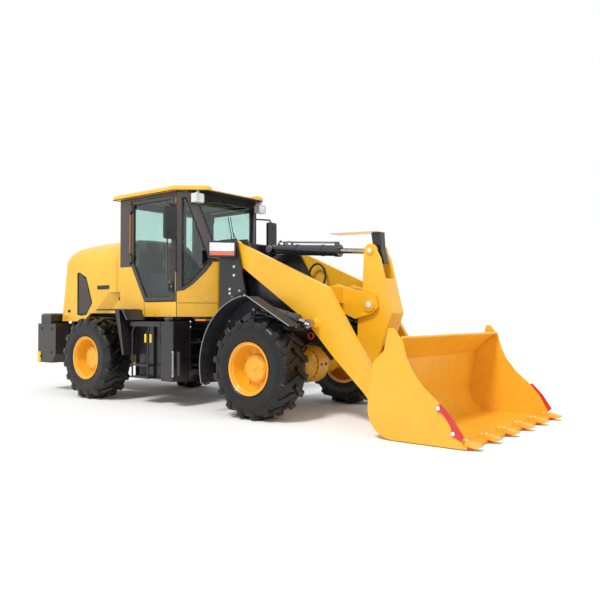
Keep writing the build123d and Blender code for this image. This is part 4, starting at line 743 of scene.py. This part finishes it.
# ---- cab -----------------------------------------------------------------------------
DOOR = [(-2395, 2590), (-2395, 1750), (-2118, 1270), (-1540, 1270), (-1540, 2590)]
QUARTER = [(-1455, 1440), (-1385, 1515), (-1285, 1690), (-1245, 1800), (-1425, 2545), (-1455, 2545)]
COWL = [(-1500, 1395), (-1440, 1410), (-1373, 1481), (-1270, 1640), (-1215, 1756)]
ROOF = [(-2704, 779), (-1492, 779), (-1182, 509)]
BROW = [(-1192, 496), (-1400, 678), (-1400, 600), (-1382, 570)]
FACET = Vector((0.7634, 0.6459, 0))     # outward normal of the slanted front facet
FACET_FALL = 390 / 330                  # how fast the facet comes in
RAKE = 0.2417                           # of the windshield
SILL_Z, SHIELD_HALF = 1760, 330
CAB_FLOOR, LINING_Y = 1122, 673


def facet(side, x, z, out=0.0):
    """A point of the cab's slanted front facet, moved out along its normal."""
    y = CAB_Y - (x + 1500) * FACET_FALL
    return at(x + FACET.x * out, side * (y + FACET.y * out), z)


def shield(y, z, out=0.0):
    """A point of the windshield's plane."""
    return at(-1170 - RAKE * (z - SILL_Z) + out, y, z)


def shield_edge(side, z):
    """A point near the windshield's edge."""
    return shield(side * (SHIELD_HALF + RAKE * (z - SILL_Z) * FACET_FALL - 45), z, 1)


def mirrored(pairs, z):
    """A closed plan of (x, y) pairs and their mirror images at one height."""
    return [at(x, y, z) for x, y in pairs] + [at(x, -y, z) for x, y in reversed(pairs)]


def cab_seals():
    """Rubber round the fixed panes, the windshield and the roof."""
    mesh = Mesh()
    for side in BOTH:
        mesh.bead([facet(side, x, z, 1) for x, z in QUARTER], 7)
        mesh.tube([facet(side, -1499, 1395, 3), facet(side, -1499, 2628, 3)], 3.5, 6)
        mesh.tube(run(side, (-2401, CAB_Y, 1745), (-2401, CAB_Y, 2600)), 4.5, 6)
    mesh.bead([shield_edge(side, z) for side, z in ((-1, 1790), (1, 1790), (1, 2545), (-1, 2545))], 8)
    mesh.bead([at(-2621, y, z) for y, z in ((-560, 1760), (560, 1760), (560, 2545), (-560, 2545))], 8)
    mesh.bead(mirrored(ROOF, 2629), 5)
    mesh.make("cab_seals", ["seal"], "rear_body")


def cab_fittings():
    """Panel seams, orange strips of painted shade along the door opening's edges, bolts, wipers, ledges in
    the same painted shade, hand rails and the brow plate of the cab's shell.
    """
    mesh = Mesh()
    seam_y = CAB_Y + 0.5
    for side in BOTH:
        mesh.tube(run(side, (-1493, seam_y, 1082), (-1493, seam_y, 1395)), 2.8, 6)
        mesh.tube(run(side, (-2100, seam_y, 1082), (-2118, seam_y, 1268)), 2.6, 6)
        mesh.tube([facet(side, x, 1250, 0.5) for x in (-1490, -1172)], 2.8, 6)
        mesh.tube([facet(side, x, z, 0.5) for x, z in COWL], 4.5, 6)
        # orange strips of painted shade along the door opening's rear and front edges
        mesh.box(at(-2409, side * (CAB_Y + 2), 2190), (12, 6, 800), 1)
        mesh.box(at(-1506, side * (CAB_Y + 2), 1975), (10, 5, 1150), 1)
        mesh.bolts([facet(side, x, 1297) for x in (-1236, -1262)], (FACET.x, side * FACET.y, 0), 7.5, 2)
        mesh.bolts(run(side, *[(x, CAB_Y, 1104) for x in (-2560, -2250, -1900, -1600)]), Y * side, 7.5, 2)
        mesh.tube([shield(side * 120, 1776, 6), shield(side * 120, 1782, 30)], 11, 12, 3)
        arm = [shield(side * 120, 1782, 26), shield(side * 60, 2010, 22), shield(side * 20, 2165, 14)]
        mesh.tube(arm, [8, 6, 4], 8, 3)
        mesh.tube([shield(side * 20 - 2, 1965, 9), shield(side * 20 + 2, 2365, 9)], 5, 6, 3)
        # ledge below the nose, in the same orange painted shade
        mesh.box(at(-1108, side * 640, 1041), (174, 90, 22), 1)
        rail = [(-1490, 727, 1640), (-1476, 752, 1650), (-1476, 752, 2010), (-1490, 727, 2020)]
        mesh.tube(run(side, *rail), 11, 10, 3)
    mesh.prism(mirrored(BROW, 2626.5), (0, 0, 3), 3)
    mesh.make("cab_fittings", ["seal", "edge", "steel", "plastic"], "rear_body", bevel=1.2)


def cab_lining():
    """Inner panels, headliner, dashboard and levers seen through the glass."""
    mesh = Mesh()
    skin = 4
    for side in BOTH:
        rear = [(-2572, CAB_FLOOR), (-2112, CAB_FLOOR), (-2128, 1262), (-2408, 1742), (-2572, 1742)]
        door = [(-2112, CAB_FLOOR), (-1505, CAB_FLOOR), (-1505, 1262), (-2128, 1262)]
        for outline in (rear, door):
            mesh.prism([at(x, side * LINING_Y, z) for x, z in outline], (0, -side * skin, 0))
        front = [(-1502, CAB_FLOOR)] + [(x - 8, z - 6) for x, z in COWL] + [(-1222, CAB_FLOOR)]
        mesh.prism([facet(side, x, z, -48) for x, z in front], FACET * -skin)
        mesh.tube(run(side, (-2560, 560, 2520), (-2560, 560, 1800)), 12, 8)
        mesh.box(at(-2050, side * 390, 2604), (620, 140, 30), 1)
        mesh.box(at(-2118, side * 268, 1610), (300, 60, 45))
        mesh.tube(run(side, (-2230, 262, 1520), (-2230, 268, 1600)), 12, 8)
    mesh.box(at(-2572, 0, 1440), (skin, 1330, 620))
    mesh.box(at(-1222, 0, 1440), (skin, 600, 620))
    mesh.box(at(-1960, 0, 2620), (1100, 1280, 16), 1)
    mesh.box(at(-1375, 0, 1668), (140, 860, 50), 0, Matrix.Rotation(0.18, 3, "Y"))
    for y in (-95, 0, 95):
        dial, tilt = at(-1452, y, 1662), (-0.52, 0, 0.85)
        mesh.turned(dial, tilt, [(0, 40), (10, 40), (12, 36), (9, 34)], 28)
        mesh.turned(dial, tilt, [(1, 33), (9.5, 33)], 28, 2)
    for k, (x, y) in enumerate(((-1785, -470), (-1785, -410), (-1800, -350))):
        foot, top = at(x, y, 1640), at(x + 30, y + 10 * k, 1780)
        mesh.tube([foot, at(x + 10, y, 1700), top], 6, 8, 3)
        mesh.turned(foot, Z, [(0, 30), (12, 26), (22, 16), (32, 9)], 20)
        mesh.turned(top, (0.2, 0, 1), [(-12, 8), (0, 15), (18, 18), (34, 13), (38, 6)], 20)
    for y in (-70, 60):
        mesh.box(at(-1512, y, 1190), (100, 70, 14), 0, Matrix.Rotation(-0.6, 3, "Y"))
        mesh.tube([at(-1470, y, CAB_FLOOR), at(-1500, y, 1185)], 8, 8, 3)
    mesh.box(at(-2545, -330, 1560), (50, 300, 220))
    mesh.box(at(-2500, 420, 1640), (100, 240, 160), 4)
    mesh.make("cab_lining", ["lining", "liner", "lens", "steel", "seal"], "rear_body", bevel=3)
    ribs = Mesh()
    for x in range(-2500, -1300, 34):
        ribs.box(at(x, 0, 1121.5), (12, 900 if x < -1650 else 600, 3))
    ribs.make("floor_ribs", ["mat"], "rear_body", bevel=0.8)


def door_fittings(hand, side):
    """Pane seals, latch, key barrel and edge bead of one door, riding with it."""
    mesh = Mesh()
    for d, y, radius, sides in ((53, 707, 9, 8), (53, 688, 6, 6), (9, 719, 3, 6)):
        mesh.bead([at(x, side * y, z) for x, z in inset(DOOR, d)], radius, 0, sides)
    mesh.box(at(-1590, side * 727, 1440), (75, 14, 115), 1)
    latch = [(-1612, 735, 1478), (-1608, 751, 1470), (-1608, 751, 1412), (-1612, 735, 1404)]
    mesh.tube(run(side, *latch), 6.5, 10, 1)
    mesh.studs(side, [(-1575, 733, 1452)], puck(10, 4, 5, 7), 20, 2)
    mesh.studs(side, [(-1570, CAB_Y, z) for z in (1500, 2050)], puck(22, 6, 10, 14), 24, 1)
    hinges = [(-2378, 729, z + dz) for z in (1790, 2450) for dz in (18, 72)]
    mesh.bolts(run(side, *hinges), Y * side, 6, 2, washer=False)
    mesh.make("door_fittings_" + hand, ["seal", "plastic", "steel"], "door_" + hand, bevel=1.2)


def lamps_and_mirrors():
    """Mirror faces with their rims, and the work lamps' lenses, bezels and ribs."""
    face = Mesh()
    lamp = Mesh()
    for side in BOTH:
        outline = soft_box(830, 1010, 2010, 2400, 24)
        face.prism([at(-1401, side * y, z) for y, z in inset(outline, 9)], (-1.5, 0, 0))
        face.bead([at(-1400, side * y, z) for y, z in inset(outline, 4)], 4.5, 1)
        for z in (2090, 2320):
            face.turned(at(-1366, side * 930, z), X, puck(16, 8, 12, 10), 20, 1)
        lamp.bead([at(-1243, side * y, z) for y, z in soft_box(509, 631, 2482, 2584, 14)], 7, 1)
        lamp.prism([at(-1245, side * y, z) for y, z in soft_box(513, 627, 2486, 2580, 12)], (2, 0, 0), 2)
        for z in range(2495, 2586, 13):
            lamp.tube(run(side, (-1242, 520, z), (-1242, 620, z)), 3, 6)
        for z in (2500, 2565):
            lamp.box(at(-1337, side * 570, z), (16, 100, 8), 1)
    face.make("mirror_faces", ["mirror", "plastic"], "rear_body")
    lamp.make("work_lamp_lenses", ["lens", "white", "reflector"], "rear_body")


def headlamps():
    """Ribbed lens with an amber strip below, in a black bezel."""
    outer, inner = Vector((-812, 845)), Vector((-600, 604))
    along = (outer - inner).normalized()
    out = Vector((-along.y, along.x)) if along.y < 0 else Vector((along.y, -along.x))
    width = (outer - inner).length
    mesh = Mesh()
    for side in BOTH:
        def spot(s, z, d):
            p = inner + along * s + out * d
            return at(p.x, side * p.y, z)

        def pane_at(edge, z0, z1, d):
            far = width - edge
            return [spot(s, z, d) for s, z in ((edge, z0), (far, z0), (far, z1), (edge, z1))]

        for z0, z1, mat in ((1836, 1932, 1), (1786, 1832, 2)):
            mesh.prism(pane_at(16, z0, z1, 0.5), Vector((out.x, side * out.y, 0)) * 6, mat)
        for k in range(11):
            s = 28 + (width - 56) * k / 10
            mesh.tube([spot(s, 1792, 7.5), spot(s, 1928, 7.5)], 3.6, 6)
        mesh.bead(pane_at(8, 1776, 1944, 6), 11, 3, 8)
    mesh.make("headlamp_glass", ["lens", "reflector", "orange_lens", "plastic"], "front_body",
              replaces=["headlamp_lenses"])


# ---- seat ----------------------------------------------------------------------------
SEAT_PAD = [(-2338, 1446), (-1896, 1446), (-1890, 1478), (-1896, 1532), (-2338, 1532)]
SEAT_BACK = [(-2334, 1558), (-2238, 1558), (-2308, 2054), (-2388, 2054)]
SWELL = 0.022               # how far the cloth may move, in metres
CHANNEL = 0.008             # half width of a sewn channel, in metres


def blow_up(piece, frames=20):
    """Where the points of a piece come to lie under a cloth simulation with pressure inside."""
    puff = piece.modifiers.new("cloth", "CLOTH")
    puff.settings.use_pressure = True
    puff.settings.uniform_pressure_force = 4.0
    puff.settings.effector_weights.gravity = 0.0
    puff.settings.quality = 4
    puff.point_cache.frame_end = frames
    for step in range(1, frames + 1):
        bpy.context.scene.frame_set(step)
    blown = piece.evaluated_get(bpy.context.evaluated_depsgraph_get())
    ends = [v.co.copy() for v in blown.data.vertices]
    piece.modifiers.remove(puff)
    bpy.context.scene.frame_set(1)
    return ends


def stuffed(name, outline, half, floor, channels):
    """A seat pad blown up from a slightly smaller block, then sewn along lengthwise channels."""
    mesh = Mesh()
    mesh.prism([at(x, -half, z) for x, z in outline], (0, 2 * half, 0))
    piece = mesh.make(name, ["seat"], "rear_body", bevel=22, smooth=180, segments=4)
    remesh = piece.modifiers.new("voxels", "REMESH")
    remesh.mode = "VOXEL"
    remesh.voxel_size = 0.007
    graph = bpy.context.evaluated_depsgraph_get()
    data = bpy.data.meshes.new_from_object(piece.evaluated_get(graph))
    piece.modifiers.clear()
    piece.data = data
    start = [v.co.copy() for v in data.vertices]
    ends = start
    ends = blow_up(piece)
    for i, vertex in enumerate(data.vertices):
        move = ends[i] - start[i]
        if move.length > SWELL:
            move *= SWELL / move.length
        spot = start[i] + move
        for y, depth in channels:
            gap = (spot.y - y) / CHANNEL
            if abs(gap) < 3:
                spot -= vertex.normal * depth * math.exp(-gap * gap)
        spot.z = max(spot.z, floor)
        vertex.co = spot
    data.polygons.foreach_set("use_smooth", [True] * len(data.polygons))
    data.update()
    smooth = piece.modifiers.new("smooth", "SUBSURF")
    smooth.levels = smooth.render_levels = 1
    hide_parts("seat_cushions")


# ---- tanks, ladders, rear ------------------------------------------------------------
TANK_CAP, GAUGE_X = (-1472, 860), -1306


def tank_fittings():
    """Reflectors, level gauge, louvre, filler cap, tread plate and bolts beside the cab."""
    mesh = Mesh()
    for side in BOTH:
        for x in (-1818, -1718):
            mesh.box(at(x, side * (TANK_Y + 2), 816), (34, 6, 104))
        mesh.box(at(GAUGE_X, side * 849, 521), (12, 40, 285), 1)
        mesh.box(at(GAUGE_X, side * (TANK_Y + 2), 521), (34, 8, 290), 1)
        mesh.tube(run(side, (GAUGE_X, 937, 388), (GAUGE_X, 937, 655)), 6, 10, 2)
        mesh.bolts(run(side, (GAUGE_X, 936, 379), (GAUGE_X, 936, 664)), Y * side, 8, 3)
        for k in range(7):
            mesh.box(at(-2021, side * 812, 350 + 15 * k), (85, 6, 7), 4, Matrix.Rotation(side * 0.5, 3, "X"))
        x, y = TANK_CAP
        mesh.turned(at(x, side * y, 1046), Z, [(0, 52), (12, 52), (20, 46), (24, 30)], 32, 5)
        ridges = [around(at(x, side * y, z), r, 10, X, Y) for z, r in ((1047, 52), (1060, 51))]
        for ends in zip(*ridges):
            mesh.tube(ends, 5, 6, 5)
        feet = [(x, TANK_Y, z) for z in (985, 345) for x in (-1500, -1330)]
        mesh.bolts(run(side, *feet), Y * side, 8, 4)
        pipe = run(side, (-1430, 655, 420), (-1445, 570, 385), (-1560, 400, 500), (-1760, 270, 474))
        mesh.tube(smooth_run(pipe), 12, 10, 6)
        mesh.bolts(run(side, (-1315, 655, 957), (-1315, 655, 1017)), Y * side, 10, 3)
        mesh.box(at(-1225, side * 585, 1068), (110, 120, 12), 5)
    mesh.make("tank_fittings", ["amber", "trim", "lens", "white", "black", "cap", "hose"], "rear_body",
              bevel=1.2)
    tread = Mesh()
    for side in BOTH:
        for x0, x1, z in ((-2125, -1780, 340), (-2125, -1780, 488), (-2125, -1545, 1015)):
            for x in range(x0 + 12, x1 - 6, 22):
                for y in range(824, 913, 22):
                    tread.turned(at(x, side * y, z), Z, [(0, 5.5), (3, 4.5)], 8)
    tread.make("step_studs", ["grey"], "rear_body")


def rear_fittings():
    """Lamp lenses, reflectors, bolts, hitch pin and guard edges at the back."""
    mesh = Mesh()
    for side in BOTH:
        for y0, y1, mat in ((522, 598, 0), (604, 690, 1), (696, 800, 0)):
            outline = soft_box(y0, y1, 995, 1100, 12)
            mesh.prism([at(-4399, side * y, z) for y, z in outline], (-10, 0, 0), mat)
            mesh.prism([at(-4408, side * y, z) for y, z in inset(outline, 10)], (-4, 0, 0), mat)
        mesh.bead([at(-4399, side * y, z) for y, z in soft_box(515, 806, 988, 1107, 14)], 7, 2)
        feet = [(x, WEIGHT_Y, z) for x, z in ((-4330, 905), (-4080, 905), (-4330, 500), (-4080, 560))]
        mesh.studs(side, feet, [(0, 34), (3, 34), (3, 26)], 28, 3)
        mesh.bolts(run(side, *[(x, y + 1, z) for x, y, z in feet]), Y * side, 18, 3)
        mesh.box(at(-4382, side * (WEIGHT_Y + 3), 492), (85, 6, 150), 4)
        guard = [(-2720, 1160), (-2700, 1176), (-2180, 1176), (-2080, 1041)]
        mesh.tube([at(x, side * 1011, z) for x, z in guard], 5.5, 8, 5)
        mesh.tube(run(side, (-2252, 1011, 1158), (-2150, 1011, 604)), 5, 8, 5)
        mesh.bolts(run(side, *[(x, 760, 1175) for x in (-2640, -2440, -2240)]), Z, 8, 3)
    mesh.turned(at(-4400, 0, 975), Z, puck(36, 10, 14, 30), 32, 3)
    bail = [at(-4400, y, z) for y, z in ((-20, 985), (-24, 1040), (0, 1066), (24, 1040), (20, 985))]
    mesh.tube(smooth_run(bail, 5), 8, 10, 3)
    mesh.make("rear_fittings", ["red_lens", "orange_lens", "plastic", "dark_steel", "amber", "grey"],
              "rear_body", bevel=1.2)


# ---- front frame, tower and fenders --------------------------------------------------
FENDER_R, FENDER_Y = 775, 1001
LIFT_FOOT, LIFT_HEAD = (-550, 1290), (520, 1010)
TILT_FOOT, TILT_HEAD = (-550, 1900), (920, 1789)


def front_fittings():
    """Bolts, pin caps and edges of the tower, the front frame and the wheel guards."""
    mesh = Mesh()
    for side in BOTH:
        feet = [(x, TOWER_Y, z) for x, z in ((-632, 1660), (-632, 1560), (-700, 1400), (-700, 1350))]
        mesh.bolts(run(side, *feet), Y * side, 12, 0, 12)
        mesh.studs(side, [(-700, TOWER_Y, 1840)], puck(58, 8, 12, 50), 36, 1)
        mesh.bolts(around(at(-700, side * (TOWER_Y + 12), 1840), 34, 3), Y * side, 7, 2, washer=False)
        edge = arc(at(0, side * FENDER_Y, AXLE_Z), FENDER_R, 195, 99, 32)
        mesh.tube(edge, 4.8, 8, 3)
        crest = Vector((edge[-1].x, side * 0.931, edge[-1].z))
        mesh.tube([crest, at(465, side * 931, 990)], 5.5, 8, 3)
        feet = [(x, 750, z) for x, z in ((-560, 1030), (-190, 1160), (415, 980))]
        mesh.bolts(run(side, *feet), Y * side, 11, 2)
        feet = [(x, FRAME_Y, z) for x, z in ((-250, 905), (-60, 905), (130, 905), (-250, 760), (130, 760))]
        mesh.bolts(run(side, *feet), Y * side, 13, 2)
        x, z = LIFT_FOOT
        mesh.studs(side, [(x, 707, z)], puck(30, 6, 9, 24), 28, 1)
        mesh.bolts(run(side, (x, 712, z - 16), (x, 712, z + 16)), Y * side, 7, 2, washer=False)
        mesh.bead(around(at(399, side * (FRAME_Y + 8), 876), 34, 24), 9, 4, 8)
        mesh.bolts(run(side, (0, 465, 700), (0, 345, 700)), Z, 14, 2)
    mesh.make("front_fittings", ["white", "black", "steel", "pipe", "red"], "front_body", bevel=1.2)


def axle_fittings():
    """Flange bolts, drain plugs and brake pipes on both axle housings."""
    for name, x, nose, body in (("front", 0, -1, "front_body"), ("rear", REAR_AXLE, 1, "rear_body")):
        mesh = Mesh()
        for side in BOTH:
            mesh.studs(side, [(x, 75, AXLE_Z)], puck(217.5, 16, 18, 210), 56)
            flange = around(at(x, side * 91, AXLE_Z), 201.5, 20, turn=0.5)
            mesh.bolts(flange, Y * side, 8.5, 1, 9, False)
            mesh.studs(side, [(x, 380, AXLE_Z)], puck(122, 20, 22, 116), 48)
            mesh.bolts(around(at(x, side * 402, AXLE_Z), 107, 12), Y * side, 8, 1, 9, False)
            bends = ((30, 60, 760), (60, 160, 690), (70, 300, 660), (80, 520, 640))
            mesh.tube(smooth_run([at(x - nose * d, side * y, z) for d, y, z in bends], 5), 6, 8, 2)
            mesh.bolts([at(x - nose * 214, side * 40, AXLE_Z)], (-nose, 0, 0), 13, 1)
        mesh.turned(at(x + nose * 330, 0, AXLE_Z), (nose, 0, 0), [(-20, 95), (0, 95), (4, 88)], 40)
        mesh.make("axle_fittings_" + name, ["yellow", "dark_steel", "hose"], body, bevel=1.2)


def hoses():
    """Hydraulic hoses and pipes that stay on one body each."""
    mesh = Mesh()
    for side in BOTH:
        mesh.hose(run(side, (-820, 70, 1790), (-770, 74, 1690), (-700, 70, 1560), (-640, 66, 1400),
                      (-480, 60, 1250), (-340, 40, 1160)))
        mesh.hose(run(side, (-318, 400, 1420), (-330, 412, 1560), (-290, 425, 1690), (-190, 430, 1735),
                      (-95, 430, 1660), (-80, 425, 1540), (-140, 418, 1430), (-235, 412, 1340),
                      (-290, 408, 1240)), 13)
    mesh.box(at(-345, 0, 1150), (50, 340, 120), 2)
    for y in range(-120, 121, 60):
        mesh.turned(at(-345, y, 1210), Z, puck(16, 20, 24, 11), 6, 1)
    mesh.make("front_hoses", ["hose", "steel", "black"], "front_body", bevel=1)
    back = Mesh()
    for side in BOTH:
        for line in (((-2140, 330, 1010), (-2020, 300, 1035), (-1900, 250, 1000), (-1800, 200, 940)),
                     ((-2120, 250, 470), (-2170, 240, 560), (-2190, 250, 700), (-2160, 300, 860))):
            back.hose(run(side, *line), 12)
    back.make("rear_hoses", ["hose", "steel"], "rear_body")


# ---- linkage -------------------------------------------------------------------------
def along(foot, head):
    """The direction from foot to head, and a function for points d along it, raised square to it."""
    axis = Vector((head[0] - foot[0], 0, head[1] - foot[1])).normalized()

    def spot(d, rise, y):
        return at(foot[0] + axis.x * d - axis.z * rise, y, foot[1] + axis.z * d + axis.x * rise)
    return axis, spot


def clamp(half, radius, rim):
    """Profile of a hoop round a cylinder's barrel."""
    return [(-half, radius), (-half, rim), (half, rim), (half, radius)]


def lift_pipes():
    """Steel pipe, clamps and gland ring of each lift cylinder."""
    axis, point = along(LIFT_FOOT, LIFT_HEAD)
    for hand, side in SIDES:
        mesh = Mesh()

        def spot(d, rise, y=665):
            return point(d, rise, side * y)
        pipe = [spot(150, -40, 640), spot(160, -62, 628), spot(200, -70, 626), spot(860, -70, 626),
                spot(905, -62, 628), spot(918, -42, 640)]
        mesh.tube(smooth_run(pipe, 4), 9, 10, 0)
        for d in (300, 560, 800):
            mesh.turned(spot(d, 0), axis, clamp(12, 53.5, 56), 40, 1, True)
            mesh.box(spot(d, -60, 630), (24, 26, 30), 1)
        gland = [(0, 60.5), (10, 60.5), (14, 54), (14, 34), (0, 34)]
        mesh.turned(spot(948, 0), axis, gland, 40, 1, True)
        mesh.bolts(around(spot(962, 0), 45, 6, Y, Y.cross(axis)), axis, 6.5, 2, 6, False)
        mesh.hose([spot(150, 50), spot(120, 74), spot(60, 80, 650), spot(10, 100, 640)], 10, 3, 2)
        mesh.make("lift_pipes_" + hand, ["pipe", "barrel", "steel", "hose"], "lift_barrel_" + hand)
        cap = Mesh()
        for d in (1091, 1121):
            cap.turned(spot(d, 0, 703), Y * side, puck(13, 8, 11, 9), 20)
        cap.make("lift_pin_bolts_" + hand, ["white"], "lift_rod_" + hand)


def tilt_fittings():
    """Gland ring, clamps, pipes and hose elbows of the tilt cylinder."""
    axis, spot = along(TILT_FOOT, TILT_HEAD)
    mesh = Mesh()
    for d in (380, 760):
        mesh.turned(spot(d, 0, 0), axis, clamp(14, 63.5, 67), 44, 0, True)
    gland = [(0, 70.5), (12, 70.5), (16, 60), (16, 34), (0, 34)]
    mesh.turned(spot(988, 0, 0), axis, gland, 44, 0, True)
    mesh.bolts(around(spot(1004, 0, 0), 52, 8, Y, Y.cross(axis)), axis, 6.5, 1, 6, False)
    for y, d in ((-26, 182), (26, 262)):
        mesh.tube([spot(d, 92, y), spot(958, 92, y)], 10.2, 12, 3)
        elbow = ((2, 92), (-36, 101), (-68, 88), (-76, 58))
        mesh.hose([spot(d + back, rise, y) for back, rise in elbow], 11, 2, 1)
    mesh.make("tilt_fittings", ["barrel", "steel", "hose", "pipe"], "tilt_barrel")


def boom_fittings():
    """Pin caps and welds of the loader arms and the rocker."""
    mesh = Mesh()
    caps = Mesh()
    for side in BOTH:
        for z in (1230, 1400):
            mesh.weld(run(side, (332, 489, z), (598, 489, z)), 6.5)
        for x in (330, 600):
            mesh.weld(run(side, (x, 489, 1232), (x, 489, 1398)), 6.5)
        for y in (131, 163):
            mesh.weld(run(side, (598, y, 1405), (598, y, 1232)), 6)
        mesh.studs(side, [(934, 178, 1208)], puck(34, 8, 12, 24), 32, 1)
        mesh.studs(side, [(934, 178, 1208)], puck(52, 3, 4, 48), 36)
        mesh.studs(side, [(LIFT_HEAD[0], 550, LIFT_HEAD[1])], puck(62, 6, 10, 52), 36)
        mesh.weld(arc(at(1300, side * 551, 260), 99, -160, 60, 30), 4.5)
        caps.studs(side, [(TILT_HEAD[0], 136, TILT_HEAD[1])], puck(24, 6, 9, 16), 28)
        caps.studs(side, [(900, 134, 430)], puck(44, 6, 10, 34), 32, 1)
        caps.bolts(run(side, (900, 144, 430)), Y * side, 10, 2)
        caps.weld(run(side, (1068, 87, 1480), (1166, 87, 1118), (1045, 87, 785)), 5, 1)
    mesh.make("boom_fittings", ["yellow", "white", "steel"], "boom", bevel=1)
    caps.make("rocker_fittings", ["white", "yellow", "steel"], "rocker", bevel=1)


# ---- bucket --------------------------------------------------------------------------
HEEL = ((1740, 8), (1567, 88), (1497, 300))         # three points of the shell's bend
SHELL = 16
TOOTH_GAP, TOOTH_START, TOOTH_COUNT = 402, -1005, 6
SHOE = [(2420, 8), (2452, 8), (2478, 12), (2500, 24), (2478, 26), (2420, 34)]
CUTTER = [(2196, 352), (2222, 362), (2330, 250), (2425, 110), (2395, 75), (2352, 96), (2322, 104),
          (2306, 132), (2316, 160), (2300, 196), (2262, 250), (2226, 290), (2190, 296), (2172, 322)]


def bucket_fittings():
    """Curved cheeks, rolled lip, welds, edge bolts and side cutters of the bucket."""
    mesh = Mesh()
    for side in BOTH:
        cheek = [at(x, side * (CHEEK_Y + 1.5), z) for x, z in through(*HEEL, 24)]
        cheek += run(side, (1660, CHEEK_Y + 1.5, 300), (1740, CHEEK_Y + 1.5, 140))
        mesh.prism(cheek, (0, side * 21, 0))
        seams = (through(*HEEL, 24, SHELL), [(1514, 302), (1571, 672), (1682, 780), (1836, 886)],
                 [(1742, 25), (2308, 25)])
        for seam in seams:
            mesh.weld([at(x, side * CHEEK_Y, z) for x, z in seam], 6)
        for y in (453, 489, 553, 587):
            mesh.weld(run(side, (1499, y, 330), (1547, y, 640)), 5)
    mesh.tube([at(1838, -1049, 903), at(1838, 1049, 903)], 13, 12)
    mesh.make("bucket_welds", ["bucket"], "bucket", smooth=50)
    edge = Mesh()
    for i in range(TOOTH_COUNT):
        y = TOOTH_START + TOOTH_GAP * i
        for dx in (0, 46):
            edge.turned(at(2366 + dx, y, 67 + dx * 0.12), Z, puck(11, 6, 10, 6), 20)
        edge.prism([at(x, y - 43.5, z) for x, z in SHOE], (0, 87, 0), 1)
        if i < TOOTH_COUNT - 1:
            for dy in (-90, 90):
                edge.turned(at(2372, y + TOOTH_GAP / 2 + dy, 34), Z, [(0, 17), (2, 17), (2, 12)], 20, 2)
    edge.make("edge_bolts", ["white", "red", "bucket"], "bucket", bevel=1.2)
    wear = Mesh()
    for side in BOTH:
        wear.prism([at(x, side * 1070, z) for x, z in CUTTER], (0, side * 12, 0))
        wear.studs(side, [(2196, 1082, 325), (2328, 1082, 128)], puck(19, 5, 9.5, 12), 24, 1)
    wear.make("cutter_plates", ["red", "white"], "bucket", bevel=1.5, replaces=["side_cutters"])


studio()
dress()
wheels()
hood_mesh()
hood_louvres()
hood_fittings()
cab_seals()
cab_fittings()
cab_lining()
for hand, side in SIDES:
    door_fittings(hand, side)
lamps_and_mirrors()
headlamps()
stuffed("seat_pad", SEAT_PAD, 226, 1.4415, ((-0.105, 0.012), (0.105, 0.012)))
stuffed("seat_back", SEAT_BACK, 214, 1.552, ((-0.10, 0.010), (0.10, 0.010)))
tank_fittings()
rear_fittings()
front_fittings()
axle_fittings()
hoses()
lift_pipes()
tilt_fittings()
boom_fittings()
bucket_fittings()
